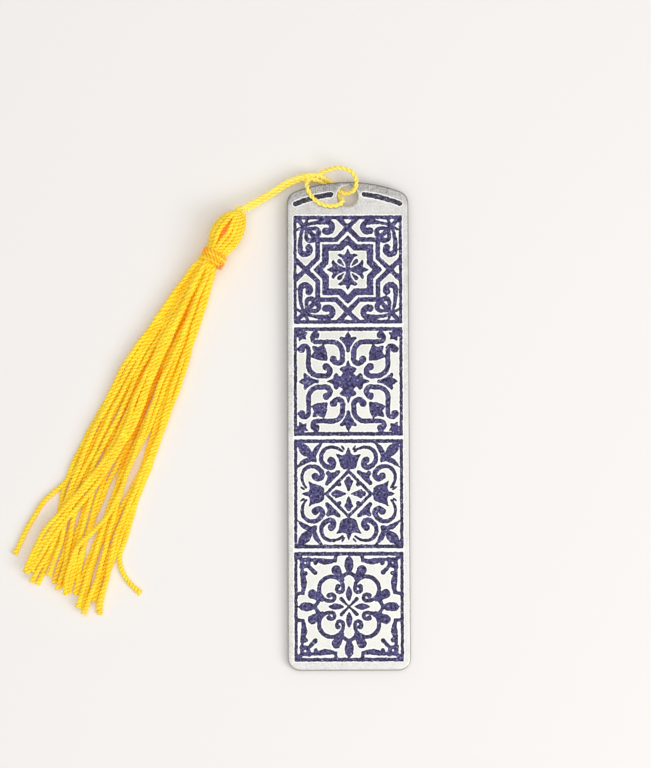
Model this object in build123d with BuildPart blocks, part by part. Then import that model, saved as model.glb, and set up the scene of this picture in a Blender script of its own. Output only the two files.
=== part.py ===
"""Metal bookmark with four enamelled tiles and a silk tassel hitched through its hole.

Frame: X across the plate, Y along it towards the hole, Z up. The origin is under the middle of the
plate, on the surface that the bookmark lies on. The lower end of the plate rests on that surface and
its upper end rests on the cord that runs under it. Lengths are in millimetres.
"""

from build123d import *

import os
from math import asin, cos, degrees, radians, sin, sqrt, tan

os.makedirs("parts", exist_ok=True)

# Plate
plate_length = 88.0
plate_width = 22.0
plate_thickness = 1.5
top_radius = 27.0
top_corner = 2.4
bottom_corner = 2.2
edge_bevel = 0.3
hole_diameter = 3.9
hole_bridge = 0.65
hole_bevel = 0.2

# Enamelled tiles, drawn on a grid of twenty units a side
side_margin = 1.22
bottom_margin = 1.65
top_margin = 6.15
tile_gap = 0.65
tile_count = 4
frame_line = 0.66
tile_recess = 0.2
enamel_sink = 0.04
enamel_fit = 0.02
grid_side = 20.0
scroll_step = 45
spot_sides = 8

# Enamelled accent lines beside the hole
accent_inset = 2.14
accent_width = 0.85
accent_hole_clearance = 0.4
accent_side_margin = 1.1

# Hanging loop, one cord bent double
cord_diameter = 0.95
cord_clearance = 0.2
leg_clearance = 0.09
cord_sides = 4
bend_share = 0.45
knot_left = 19.2
knot_below = 2.6
knot_diameter = 2.0
knot_gap = 0.05
knot_sides = 6

# Head and neck of the tassel
head_heading = -121.7
head_diameter = 5.7
head_top_diameter = 1.7
head_swell = 4.4
head_flat = 2.0
head_length = 8.4
neck_diameter = 3.5
binding_length = 3.1
binding_thickness = 0.62
binding_fit = 0.03

# Skirt of the tassel
strand_count = 24
strand_diameter = 0.8
strand_clearance = 0.06
strand_gap = 0.1
bundle_width = 4.5

# The plate leans on the cord under its upper end
cord_lift = cord_diameter + cord_clearance
plate_tilt = asin(cord_lift / plate_length)
plate_bottom = Plane(
    origin=(0, -plate_length / 2 * cos(plate_tilt), 0),
    x_dir=(1, 0, 0),
    z_dir=(0, -sin(plate_tilt), cos(plate_tilt)),
)
plate_top = plate_bottom.offset(plate_thickness)
plate_normal = Axis(plate_bottom.origin, plate_bottom.z_dir)

# Sizes that follow from those above
hole_radius = hole_diameter / 2
hole_height = plate_length - hole_bridge - hole_radius
arch_centre = plate_length - top_radius
arch_rise = top_radius - sqrt(top_radius**2 - (plate_width / 2) ** 2)
tile_by_width = plate_width - 2 * side_margin
tile_by_length = (plate_length - bottom_margin - top_margin + tile_gap) / tile_count - tile_gap
tile_size = min(tile_by_width, tile_by_length)
unit = tile_size / grid_side
tile_heights = [bottom_margin + tile_size / 2 + row * (tile_size + tile_gap) for row in range(tile_count)]
enamel_floor = plate_top.offset(-tile_recess)
enamel_height = tile_recess - enamel_sink


def bow(start, end, bulge):
    """Two points on the way from one point to another, on a curve that bulges to its left."""
    left = (end - start).normalized().rotate(Axis.Z, 90)
    return [start + (end - start) * share + left * (4 * bulge * share * (1 - share)) for share in (0.3, 0.7)]


def leaf(root, tip, left_bulge, right_bulge):
    """Pointed leaf between two points, each side with its own bulge."""
    root = Vector(*root)
    tip = Vector(*tip)
    with BuildSketch() as blade:
        with BuildLine():
            Polyline(root, *bow(root, tip, left_bulge), tip, *bow(tip, root, right_bulge), close=True)
        make_face()
    return blade.sketch


def drop(root, tip, width):
    """Petal with a pointed root and a blunt round tip."""
    root = Vector(*root)
    tip = Vector(*tip)
    along = (tip - root).normalized() * (width / 2)
    middle = tip - along * cos(radians(30))
    round_end = [middle + along.rotate(Axis.Z, angle) for angle in (90, 30, -30, -90)]
    with BuildSketch() as petal:
        with BuildLine():
            Polyline(root, *round_end, close=True)
        make_face()
    return petal.sketch


def scroll(start, heading, bends, width, bud):
    """Scroll stroke with a bud at its end. A bend is a radius and a turn, or a length and no turn."""
    points = [Vector(*start)]
    for radius, turn in bends:
        steps = max(1, round(abs(turn) / scroll_step))
        half_step = turn / steps / 2
        chord = 2 * radius * sin(radians(abs(half_step))) if turn else radius
        for _ in range(steps):
            heading += half_step
            points.append(points[-1] + Vector(chord, 0).rotate(Axis.Z, heading))
            heading += half_step
    with BuildSketch() as stroke:
        with BuildLine():
            Polyline(*points)
        trace(line_width=width)
        with Locations(points[-1]):
            RegularPolygon(bud, spot_sides, rotation=heading)
    return stroke.sketch


def band(width, *points):
    """Straight-sided band along a line of points."""
    with BuildSketch() as strip:
        with BuildLine():
            Polyline(*points)
        trace(line_width=width)
    return strip.sketch


def blossom(*half):
    """Flower head from the points of its right half, from its tip on the Y axis to its foot there."""
    with BuildSketch() as flower:
        with BuildLine():
            Polyline(*half)
            mirror(about=Plane.YZ)
        make_face()
    return flower.sketch


def spot(centre, radius):
    """Round spot."""
    with BuildSketch() as dot:
        with Locations(centre):
            RegularPolygon(radius, spot_sides)
    return dot.sketch


def both_sides(sketch):
    """A motif and its mirror image across the Y axis."""
    with BuildSketch() as pair:
        add(sketch)
        mirror(about=Plane.YZ)
    return pair.sketch


def on_corner(sketch):
    """A motif drawn on the Y axis, turned onto the tile's diagonal."""
    return sketch.rotate(Axis.Z, -45)


def diamond(outer, inner):
    """Square line that stands on its corner in the middle of a tile, from its half-diagonals."""
    with BuildSketch() as ring:
        RegularPolygon(outer, 4)
        RegularPolygon(inner, 4, mode=Mode.SUBTRACT)
    return ring.sketch


def star_motifs():
    """Eight-pointed star with interlaced bands, a cross of lilies and hooked corner scrolls."""
    with BuildSketch() as star:
        Rectangle(9.4, 9.4)
        Rectangle(9.05, 9.05, rotation=45)
        Rectangle(7.0, 7.0, mode=Mode.SUBTRACT)
        Rectangle(6.6, 6.6, rotation=45, mode=Mode.SUBTRACT)
    lily = blossom((0, 4.0), (0.38, 3.2), (0.62, 2.95), (1.78, 3.08), (0.78, 1.8), (0.25, 0.3), (0, 0))
    hook = scroll((7.9, 7.85), 155, [(8.5, 30), (0.82, 200)], 0.75, 0.6)
    return [
        star.sketch,
        band(0.85, (-1.8, 9.6), (2.15, 5.55), (5.55, 5.55), (5.55, 2.15), (9.6, -1.8)),
        lily,
        spot((0, 0), 0.35),
        on_corner(drop((0, 1.0), (0, 2.75), 0.85)),
        both_sides(hook),
        on_corner(leaf((0, 8.1), (0, 11.4), 0.62, 0.62)),
        both_sides(leaf((7.7, 7.6), (5.2, 7.25), 0.1, 0.62)),
        on_corner(leaf((0, 10.6), (0, 13.6), 0.55, 0.55)),
    ]


def scroll_motifs():
    """Quatrefoil of eight S-scrolls round a cross, with a lily on each side and a tulip in each corner."""
    lily = blossom((0, 9.1), (0.55, 8.05), (1.6, 7.95), (1.15, 7.2), (0.45, 6.2), (0.42, 5.4), (0, 5.15))
    tulip = blossom((0, 9.15), (0.5, 8.25), (1.5, 8.0), (0.95, 7.1), (0.45, 6.2), (0, 5.35))
    corner_leaf = blossom((0, 13.6), (0.9, 12.9), (0.7, 12.2), (1.05, 11.65), (0.35, 11.5), (0, 10.85))
    run = [(0.75, -180), (2.95, 0), (1.9, 88), (1.15, 0), (0.95, 195)]
    return [
        lily,
        on_corner(tulip),
        on_corner(corner_leaf),
        both_sides(scroll((5.7, 8.7), 0, run, 0.64, 0.5)),
        spot((5.75, 8.55), 0.5),
        spot((-5.75, 8.55), 0.5),
        leaf((0, 0), (0, 4.1), 0.75, 0.75),
        spot((0, 0), 1.35),
        both_sides(drop((0.3, 1.2), (1.65, 2.25), 0.75)),
    ]


def tulip_motifs():
    """Diamond with four petals, a tulip on each side and a pair of C-scrolls in each corner."""
    tulip = blossom(
        (0, 8.6), (0.38, 7.6), (0.65, 7.1), (1.3, 6.95), (2.45, 7.3), (1.8, 6.0), (1.37, 4.5), (0, 4.35)
    )
    return [
        diamond(4.45, 3.85),
        drop((0, 0.4), (0, 3.1), 1.5),
        on_corner(leaf((0, 2.05), (0, 2.8), 0.32, 0.32)),
        tulip,
        on_corner(drop((0, 3.9), (0, 5.7), 1.0)),
        both_sides(drop((3.2, 3.2), (1.65, 3.85), 0.75)),
        both_sides(scroll((1.0, 7.5), 39, [(3.8, -39), (1.75, -190), (0.62, -160)], 0.58, 0.6)),
        both_sides(leaf((0.75, 8.05), (1.45, 8.8), 0.2, 0.2)),
        on_corner(leaf((0, 8.3), (0, 13.4), 0.8, 0.8)),
        both_sides(leaf((6.2, 6.2), (4.5, 9.6), -0.05, 0.75)),
    ]


def petal_motifs():
    """Rosette of twelve petals round four scrolled rings, with leaf bands in the corners."""
    curl = [(2.3, 92), (1.3, 40), (0.4, 0), (0.85, 165), (0.5, 80)]
    return [
        leaf((0, 0.85), (0, 3.75), 0.48, 0.48),
        on_corner(drop((0, 0.75), (0, 2.15), 0.62)),
        spot((0, 0), 0.4),
        both_sides(scroll((4.83, 4.83), 135, curl, 0.56, 0.42)),
        drop((0, 6.0), (0, 9.2), 1.45),
        both_sides(drop((1.3, 5.4), (2.7, 7.5), 1.4)),
        leaf((-1.3, 5.5), (1.3, 5.5), 0.95, -0.4),
        both_sides(leaf((6.7, 8.55), (2.2, 8.15), 0.62, 0.38)),
        both_sides(band(0.5, (2.4, 8.2), (2.1, 9.6))),
        both_sides(drop((7.4, 8.3), (6.0, 7.75), 0.6)),
        on_corner(leaf((0, 10.0), (0, 13.6), 0.8, 0.8)),
        on_corner(drop((0, 10.4), (0, 8.5), 0.75)),
    ]


# Plate with its hole, tile recesses and accent grooves
with BuildSketch(plate_bottom) as outline:
    with BuildLine():
        Polyline(
            (-plate_width / 2, plate_length - arch_rise),
            (-plate_width / 2, 0),
            (plate_width / 2, 0),
            (plate_width / 2, plate_length - arch_rise),
        )
        ThreePointArc(
            (plate_width / 2, plate_length - arch_rise),
            (0, plate_length),
            (-plate_width / 2, plate_length - arch_rise),
        )
    make_face()
    fillet(outline.vertices().sort_by(Axis.Y)[:2], radius=bottom_corner)
    fillet(outline.vertices().sort_by(Axis.Y)[-2:], radius=top_corner)
    with Locations((0, hole_height)):
        Circle(hole_radius, mode=Mode.SUBTRACT)

accent_radius = top_radius - accent_inset
accent_near = hole_radius + hole_bevel + accent_hole_clearance + accent_width / 2
accent_far = plate_width / 2 - accent_side_margin - accent_width / 2
accent_start = degrees(asin(accent_near / accent_radius))
accent_end = degrees(asin(accent_far / accent_radius))
accent_starts = {"accent_enamel_right": 90 - accent_end, "accent_enamel_left": 90 + accent_start}


def accent_line(start, width):
    """Line with round ends that follows the arched edge of the plate."""
    with BuildLine() as path:
        CenterArc((0, arch_centre), accent_radius, start, accent_end - accent_start)
    with BuildSketch() as line:
        SlotArc(path.edge(), width)
    return line.sketch


with BuildSketch(plate_top) as recesses:
    with Locations(*[(0, height) for height in tile_heights]):
        Rectangle(tile_size + 2 * enamel_fit, tile_size + 2 * enamel_fit)
    for start in accent_starts.values():
        add(accent_line(start, accent_width + 2 * enamel_fit))

with BuildPart() as plate:
    extrude(outline.sketch, amount=plate_thickness)
    faces = plate.faces().sort_by(plate_normal)
    chamfer(faces[0].inner_wires().edges() + faces[-1].inner_wires().edges(), length=hole_bevel)
    faces = plate.faces().sort_by(plate_normal)
    chamfer(faces[0].outer_wire().edges() + faces[-1].outer_wire().edges(), length=edge_bevel)
    extrude(recesses.sketch, amount=-tile_recess, mode=Mode.SUBTRACT)

plate.part.label = "plate"
export_step(plate.part, "parts/plate.step")

# Enamel of the four tiles, from the lowest to the one below the hole
tile_motifs = {
    "petal_enamel": petal_motifs(),
    "tulip_enamel": tulip_motifs(),
    "scroll_enamel": scroll_motifs(),
    "star_enamel": star_motifs(),
}
for (name, motifs), height in zip(tile_motifs.items(), tile_heights):
    with BuildSketch() as field:
        with PolarLocations(0, 4):
            for motif in motifs:
                add(motif)
    with BuildSketch(enamel_floor) as face:
        with Locations((0, height)):
            Rectangle(tile_size, tile_size)
            Rectangle(tile_size - 2 * frame_line, tile_size - 2 * frame_line, mode=Mode.SUBTRACT)
            add(field.sketch.scale(unit))
    with BuildPart() as enamel:
        extrude(face.sketch, amount=enamel_height)
    enamel.part.label = name
    export_step(enamel.part, f"parts/{name}.step")

# Enamel of the accent lines
for name, start in accent_starts.items():
    with BuildSketch(enamel_floor) as face:
        add(accent_line(start, accent_width))
    with BuildPart() as enamel:
        extrude(face.sketch, amount=enamel_height)
    enamel.part.label = name
    export_step(enamel.part, f"parts/{name}.step")


def route_radii(points):
    """Bend radius at each inner point of a route: as large as the two runs beside it allow."""
    radii = []
    for before, here, after in zip(points, points[1:], points[2:]):
        turn = radians((here - before).get_angle(after - here))
        shorter = min((here - before).length, (after - here).length)
        radii.append(bend_share * shorter / tan(turn / 2))
    return radii


def cord_tube(name, points, diameter):
    """Plain square tube along a route of straight runs and tangent arcs, written to its own file."""
    radii = route_radii(points)
    with BuildLine():
        path = FilletPolyline(*points, radius=radii)
    with BuildSketch(Plane(origin=path @ 0, z_dir=path % 0)) as section:
        RegularPolygon(diameter / 2, cord_sides)
    with BuildPart() as tube:
        sweep(section.sketch, path=path)
    tube.part.label = name
    export_step(tube.part, f"parts/{name}.step")
    ratio = tube.part.volume / (section.sketch.area * path.length)
    listed = " ".join(f"{radius:.2f}" for radius in radii)
    print(f"{name}: length {path.length:.1f}, volume ratio {ratio:.4f}, radii {listed}")


# Knot at the top of the head
hole_centre = plate_bottom.from_local_coords(Vector(0, hole_height, 0))
cord_radius = cord_diameter / 2
head_radius = head_diameter / 2
knot_radius = knot_diameter / 2
knot_centre = Vector(hole_centre.X - knot_left, hole_centre.Y - knot_below, head_radius)
head_along = Vector(cos(radians(head_heading)), sin(radians(head_heading)), 0)
head_across = head_along.rotate(Axis.Z, 90)
head_plane = Plane(origin=knot_centre, x_dir=head_along, z_dir=(0, 0, 1))
head_axis = Axis(knot_centre, head_along)

with BuildSketch(head_plane) as knot_profile:
    RegularPolygon(knot_radius, knot_sides)
    split(bisect_by=Plane.XZ, keep=Keep.BOTTOM)

with BuildPart() as loop_knot:
    revolve(knot_profile.sketch, axis=head_axis)

loop_knot.part.label = "loop_knot"
export_step(loop_knot.part, "parts/loop_knot.step")

# Hanging loop: two legs side by side, from the knot to the hole and under the plate, then one bight
under_level = cord_radius + cord_clearance / 8
over_level = cord_lift + plate_thickness + cord_radius + cord_clearance / 2
leg_route = [
    (-14.8, -0.2, 1.9),
    (-10.9, 2.6, 1.6),
    (-7.5, 3.65, 2.1),
    (-5.8, 3.55, 1.75),
    (-4.4, 3.1, 0.75),
    (-2.9, 2.05, under_level),
]
bight_route = [
    (-0.9, 0.8, 0.6),
    (0.1, 0.7, 1.5),
    (1.05, 0.85, 2.7),
    (1.65, 1.8, over_level),
    (1.6, 3.2, over_level),
    (0.6, 4.6, over_level),
    (-1.4, 5.25, 2.95),
    (-3.8, 4.9, 1.7),
    (-5.6, 4.05, 0.75),
    (-6.7, 3.3, 0.8),
    (-7.3, 2.7, 2.0),
    (-7.35, 1.8, over_level),
    (-6.95, 0.5, over_level),
    (-5.9, -0.9, over_level),
    (-4.3, -1.75, over_level),
    (-2.6, -1.95, over_level),
    (-1.3, -1.6, over_level),
    (-0.75, -0.95, 2.7),
    (-0.95, -0.5, 1.7),
    (-1.35, -0.1, 0.85),
    (-1.95, 0.5, under_level),
]


def beside_hole(point):
    """Point of the loop's route, given from the middle of the hole and from the surface below."""
    return Vector(hole_centre.X + point[0], hole_centre.Y + point[1], point[2])


legs = [beside_hole(point) for point in leg_route]
legs.insert(0, knot_centre + (legs[0] - knot_centre).normalized() * (knot_radius + knot_gap))
leg_offset = (cord_diameter + leg_clearance) / 2
first_leg = []
second_leg = []
for index, point in enumerate(legs):
    ahead = legs[min(index + 1, len(legs) - 1)] - legs[max(index - 1, 0)]
    aside = Vector(-ahead.Y, ahead.X, 0).normalized() * leg_offset
    first_leg.append(point + aside)
    second_leg.append(point - aside)
bight = [beside_hole(point) for point in bight_route]
cord_tube("loop_cord", first_leg + bight + second_leg[::-1], cord_diameter)

# Head: a bulb of folded threads that narrows to the neck
neck_radius = neck_diameter / 2
head_start = knot_radius + knot_gap
head_end = head_length + binding_length
with BuildSketch(head_plane) as head_profile:
    with BuildLine():
        Polyline(
            (head_start, 0),
            (head_start, head_top_diameter / 2),
            (head_swell - head_flat / 2, head_radius),
            (head_swell + head_flat / 2, head_radius),
            (head_length, neck_radius),
            (head_end, neck_radius),
            (head_end, 0),
            close=True,
        )
    make_face()

with BuildPart() as tassel_head:
    revolve(head_profile.sketch, axis=head_axis)

tassel_head.part.label = "tassel_head"
export_step(tassel_head.part, "parts/tassel_head.step")

# Binding: a sleeve as long and thick as the turns of thread round the neck
binding_inner = neck_radius + binding_fit
binding_outer = binding_inner + binding_thickness
with BuildSketch(head_plane) as binding_profile:
    with BuildLine():
        Polyline(
            (head_length, binding_inner),
            (head_length + binding_thickness / 2, binding_outer),
            (head_end - binding_thickness / 2, binding_outer),
            (head_end, binding_inner),
            close=True,
        )
    make_face()

with BuildPart() as neck_binding:
    revolve(binding_profile.sketch, axis=head_axis)

neck_binding.part.label = "neck_binding"
export_step(neck_binding.part, "parts/neck_binding.step")

# Skirt: strands that fan out from the neck and come to lie on the surface, in up to six layers
strand_radius = strand_diameter / 2
strand_pitch = strand_diameter + strand_clearance
neck_end = knot_centre + head_along * (head_end + strand_gap)
bundle_layers = (0, 3, 1, 4, 2, 5)


def layer_heights(spacing):
    """Heights of the six layers over the lowest, for strands that stand this far apart sideways."""
    near = sqrt(max(0, strand_pitch**2 - spacing**2))
    second = sqrt(max(0, strand_pitch**2 - (2 * spacing) ** 2))
    third = sqrt(max(0, strand_pitch**2 - (3 * spacing) ** 2))
    upper = max(second + near, 2 * second + third)
    return [0, second, 2 * second, upper, upper + second, upper + 2 * second]


def beside_knot(point):
    """Point on the surface, given from the knot."""
    return Vector(knot_centre.X + point[0], knot_centre.Y + point[1], 0)


# Edges of the skirt at its middle and at its ends, from the left edge to the right, from the knot
skirt_edges = [
    ((-26.9, -37.9), (-14.3, -40.3)),
    ((-39.3, -65.4), (-24.9, -71.8)),
]
left_stray = [(-27.2, -38.0), (-40.8, -62.1)]
right_stray = [(-14.3, -40.3), (-18.6, -52.6), (-22.0, -62.6), (-18.4, -69.2)]
strand_trims = (0, 1.4, 0.5, 2.1, 0.3, 1.1, 1.7, 0.2)


def strand_route(strand):
    """Route of one strand: from the end of the neck, through its place in the skirt, to its cut end."""
    share = (strand + 0.5) / strand_count
    layer = bundle_layers[strand % len(bundle_layers)]
    bundle_heights = layer_heights(bundle_width / strand_count)
    rise = bundle_heights[layer] - bundle_heights[-1] / 2
    points = [neck_end + head_across * bundle_width * (share - 0.5) + Vector(0, 0, rise)]
    for left, right in skirt_edges:
        edge = beside_knot(right) - beside_knot(left)
        rise = strand_radius + layer_heights(edge.length / strand_count)[layer]
        points.append(beside_knot(left) + edge * share + Vector(0, 0, rise))
    if strand == 0:
        return points[:1] + [beside_knot(place) + Vector(0, 0, strand_radius) for place in left_stray]
    if strand == strand_count - 1:
        heights = [points[1].Z, points[2].Z, strand_radius, strand_radius]
        return points[:1] + [beside_knot(place) + Vector(0, 0, z) for place, z in zip(right_stray, heights)]
    trim = strand_trims[strand % len(strand_trims)]
    points[-1] -= (points[-1] - points[-2]).normalized() * trim
    return points


for strand in range(strand_count):
    cord_tube(f"strand_{strand + 1:02d}", strand_route(strand), strand_diameter)
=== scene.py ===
"""Looks of a metal bookmark with four enamelled tiles and a silk tassel.

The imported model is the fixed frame. The plate is modelled anew with the cells that its enamel
fills, and the loop, the head, the binding and the strands of the tassel are modelled as twisted
two-ply thread. Lengths in this file are in millimetres, and meshes are written in metres.
"""

from __future__ import annotations

import logging
import math
from dataclasses import dataclass, field, replace
from enum import Enum, IntEnum
from typing import Callable, Iterable, Optional, Sequence

import bpy
import numpy as np
from mathutils import Matrix, Vector

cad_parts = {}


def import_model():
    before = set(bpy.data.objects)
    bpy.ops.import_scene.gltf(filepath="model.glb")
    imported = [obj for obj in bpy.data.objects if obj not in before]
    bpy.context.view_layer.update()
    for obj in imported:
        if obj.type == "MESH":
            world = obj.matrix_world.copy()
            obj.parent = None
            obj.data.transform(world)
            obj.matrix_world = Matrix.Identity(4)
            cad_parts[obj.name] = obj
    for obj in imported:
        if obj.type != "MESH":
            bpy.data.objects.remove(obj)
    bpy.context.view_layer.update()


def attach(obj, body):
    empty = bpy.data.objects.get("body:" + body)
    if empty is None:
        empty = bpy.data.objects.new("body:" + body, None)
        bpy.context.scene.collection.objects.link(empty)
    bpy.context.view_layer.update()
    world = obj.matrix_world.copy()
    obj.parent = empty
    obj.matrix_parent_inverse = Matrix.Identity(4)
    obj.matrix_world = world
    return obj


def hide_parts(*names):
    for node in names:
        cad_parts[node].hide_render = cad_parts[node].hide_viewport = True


LOG = logging.getLogger("bookmark")
MM = 0.001
Array = np.ndarray
Piece = bpy.types.Object
Material = bpy.types.Material
Node = bpy.types.Node
Socket = bpy.types.NodeSocket
Point = tuple[float, float]
Place = tuple[float, float, float]
Colour = tuple[float, float, float]


class Slot(str, Enum):
    """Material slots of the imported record."""

    METAL = "plate_metal"
    ENAMEL = "enamel"
    SILK = "silk"


def pick(*pieces: Piece) -> None:
    """Select some objects alone, and make the first one active.

    Args:
        pieces: The objects.
    """
    bpy.ops.object.select_all(action="DESELECT")
    for piece in pieces:
        piece.select_set(True)
    bpy.context.view_layer.objects.active = pieces[0]


def edit(piece: Piece, kind: str = "VERT", action: str = "SELECT") -> None:
    """Open one object in edit mode.

    Args:
        piece: The object.
        kind: The select mode, VERT, EDGE or FACE.
        action: Whether all of it is selected or nothing, SELECT or DESELECT.
    """
    pick(piece)
    bpy.ops.object.mode_set(mode="EDIT")
    bpy.ops.mesh.select_mode(type=kind)
    bpy.ops.mesh.select_all(action=action)


def close(piece: Piece) -> None:
    """Go back to object mode, with the mesh of the piece up to date."""
    bpy.ops.object.mode_set(mode="OBJECT")
    piece.data.update()


def modify(piece: Piece, kind: str, **settings: object) -> None:
    """Add a modifier to a piece and apply it.

    Args:
        piece: The piece.
        kind: Type of the modifier.
        settings: Its properties.
    """
    modifier = piece.modifiers.new(kind.lower(), kind)
    for name, value in settings.items():
        setattr(modifier, name, value)
    pick(piece)
    bpy.ops.object.modifier_apply(modifier=modifier.name)


def raise_flat(piece: Piece, height: float, fill: bool = False) -> None:
    """Make a flat piece into a solid.

    Args:
        piece: The piece, of one face or of the edges round some.
        height: Height of the solid.
        fill: Whether faces have to be filled in between the edges.
    """
    edit(piece)
    if fill:
        bpy.ops.mesh.fill(use_beauty=False)
        bpy.ops.mesh.select_all(action="SELECT")
    bpy.ops.mesh.extrude_region_move(TRANSFORM_OT_translate={"value": (0, 0, height * MM)})
    bpy.ops.mesh.select_all(action="SELECT")
    bpy.ops.mesh.normals_make_consistent(inside=False)
    close(piece)


def mesh_piece(name: str, points: Array, faces: Iterable = (), edges: Iterable = ()) -> Piece:
    """Make a mesh object.

    Args:
        name: Name of the piece.
        points: Points, one row each.
        faces: Indices of the corners of each face.
        edges: Indices of the ends of each edge.

    Returns:
        The new object, linked to the scene.
    """
    mesh = bpy.data.meshes.new(name)
    mesh.from_pydata((np.asarray(points) * MM).tolist(), list(edges), list(faces))
    piece = bpy.data.objects.new(name, mesh)
    bpy.context.scene.collection.objects.link(piece)
    return piece


def set_value(piece: Piece, name: str, values: Array) -> None:
    """Store one number on each point of a piece's mesh."""
    attribute = piece.data.attributes.new(name, "FLOAT", "POINT")
    attribute.data.foreach_set("value", np.ascontiguousarray(values, np.float32))


def declare(piece: Piece, node: str, body: str) -> Piece:
    """Say what a piece stands for.

    Args:
        piece: The piece.
        node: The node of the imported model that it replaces.
        body: The body that it rides on.

    Returns:
        The piece.
    """
    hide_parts(node)
    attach(piece, body)
    return piece


def around(angles: Array) -> Array:
    """Points on a circle of radius 1 at some angles, in radians."""
    return np.stack([np.cos(angles), np.sin(angles)], 1)


def unit(vectors: Array) -> Array:
    """Vectors, one row each, brought to length 1."""
    return vectors / np.linalg.norm(vectors, axis=1)[:, None]


# Drawing of the tile ornaments, on a grid of twenty units a side


@dataclass(frozen=True)
class Mark:
    """Filled outline of a motif."""

    line: Array

    def turned(self, degrees: float) -> Mark:
        """The mark turned round the middle of the tile, anticlockwise."""
        c, s = math.cos(math.radians(degrees)), math.sin(math.radians(degrees))
        return replace(self, line=self.line @ np.array([[c, s], [-s, c]]))

    def mirrored(self) -> Mark:
        """The mark seen in a mirror on the Y axis."""
        return replace(self, line=self.line * (-1, 1))

    def reach(self) -> tuple[Array, Array]:
        """Lowest and highest corner of the mark."""
        return self.line.min(0), self.line.max(0)

    def covers(self, x: Array, y: Array) -> Array:
        """Which places lie on the mark.

        Args:
            x: Places across the tile.
            y: Places up the tile, in the same shape.

        Returns:
            True for each place on it.
        """
        inside = np.zeros(x.shape, bool)
        for (x0, y0), (x1, y1) in zip(self.line, np.roll(self.line, -1, 0)):
            if y0 != y1:
                crossing = (y0 > y) != (y1 > y)
                inside ^= crossing & (x < x0 + (y - y0) * (x1 - x0) / (y1 - y0))
        return inside


@dataclass(frozen=True)
class Stroke(Mark):
    """Line with round ends, whose width runs evenly from its start to its end."""

    start_width: float
    end_width: float

    def reach(self) -> tuple[Array, Array]:
        """Lowest and highest corner of the stroke."""
        half = max(self.start_width, self.end_width) / 2
        return self.line.min(0) - half, self.line.max(0) + half

    def covers(self, x: Array, y: Array) -> Array:
        """Which places lie on the stroke.

        Args:
            x: Places across the tile.
            y: Places up the tile, in the same shape.

        Returns:
            True for each place on it.
        """
        inside = np.zeros(x.shape, bool)
        runs = np.hypot(*np.diff(self.line, axis=0).T)
        shares = np.concatenate([[0], np.cumsum(runs)]) / runs.sum()
        halves = (self.start_width + (self.end_width - self.start_width) * shares) / 2
        for (x0, y0), (x1, y1), half, next_half in zip(self.line, self.line[1:], halves, halves[1:]):
            dx, dy = x1 - x0, y1 - y0
            share = ((x - x0) * dx + (y - y0) * dy) / max(dx * dx + dy * dy, 1e-12)
            share = np.clip(share, 0, 1)
            reach = half + (next_half - half) * share
            inside |= (x - x0 - share * dx) ** 2 + (y - y0 - share * dy) ** 2 <= reach**2
        return inside


Marks = list[Mark]


def leaf(root: Point, tip: Point, left: float, right: float) -> Marks:
    """Pointed leaf between two points.

    Args:
        root: Where it starts.
        tip: Where it ends.
        left: Bulge of its left side.
        right: Bulge of its right side.

    Returns:
        The leaf as one mark.
    """
    a, b = np.array(root), np.array(tip)
    side = np.array([-(b - a)[1], (b - a)[0]]) / np.hypot(*(b - a))
    share = np.linspace(0, 1, 13)[:-1, None]
    swell = 4 * share * (1 - share)
    there = a + (b - a) * share + side * swell * left
    back = b + (a - b) * share - side * swell * right
    return [Mark(np.vstack([there, back]))]


def drop(root: Point, tip: Point, width: float) -> Marks:
    """Petal with a pointed root and a round tip.

    Args:
        root: Where it starts.
        tip: Where it ends.
        width: Its greatest width.

    Returns:
        The petal as one mark.
    """
    a, b = np.array(root), np.array(tip)
    along = (b - a) / np.hypot(*(b - a))
    across = np.array([-along[1], along[0]])
    arc = around(np.radians(np.linspace(100, -100, 15))) * width / 2
    middle = b - along * width / 2
    return [Mark(np.vstack([a, middle + arc[:, :1] * along + arc[:, 1:] * across]))]


def spot(centre: Point, radius: float) -> Marks:
    """Round spot."""
    angles = np.linspace(0, 2 * np.pi, 20, endpoint=False)
    return [Mark(np.array(centre) + radius * around(angles))]


def stroke(widths: Point, *points: Point) -> Marks:
    """Stroke along a line of points, with its width at its start and at its end."""
    return [Stroke(np.array(points, float), *widths)]


def scroll(start: Point, heading: float, bends: Sequence[Point], widths: Point, bud: float) -> Marks:
    """Scroll stroke with a bud at its end.

    Args:
        start: Where it starts.
        heading: Its direction there, in degrees.
        bends: A radius and a turn in degrees, or a length and no turn, one after the other.
        widths: Width at its start and at its end.
        bud: Radius of the bud.

    Returns:
        The stroke and the bud.
    """
    points = [np.array(start, float)]
    for radius, bend in bends:
        steps = max(1, round(abs(bend) / 7))
        half_step = math.radians(bend / steps / 2)
        chord = 2 * radius * math.sin(abs(half_step)) if bend else radius
        for _ in range(steps):
            heading += math.degrees(half_step)
            angle = math.radians(heading)
            points.append(points[-1] + chord * np.array([math.cos(angle), math.sin(angle)]))
            heading += math.degrees(half_step)
    return [Stroke(np.array(points), *widths), *spot(tuple(points[-1]), bud)]


def band(width: float, *points: Point) -> Marks:
    """Straight-sided band with sharp corners.

    Args:
        width: Its width.
        points: Points of its middle line.

    Returns:
        The band as one mark.
    """
    line = np.array(points, float)
    runs = np.diff(line, axis=0)
    runs /= np.hypot(runs[:, 0], runs[:, 1])[:, None]
    sides = np.stack([-runs[:, 1], runs[:, 0]], 1)
    before = np.vstack([sides[:1], sides])
    after = np.vstack([sides, sides[-1:]])
    mitre = (before + after) / (1 + (before * after).sum(1))[:, None]
    return [Mark(np.vstack([line + mitre * width / 2, (line - mitre * width / 2)[::-1]]))]


def blossom(*half: Point) -> Marks:
    """Flower head from the points of its right half, from its tip on the Y axis to its foot there."""
    right = np.array(half, float)
    return [Mark(np.vstack([right, right[::-1] * (-1, 1)]))]


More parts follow.
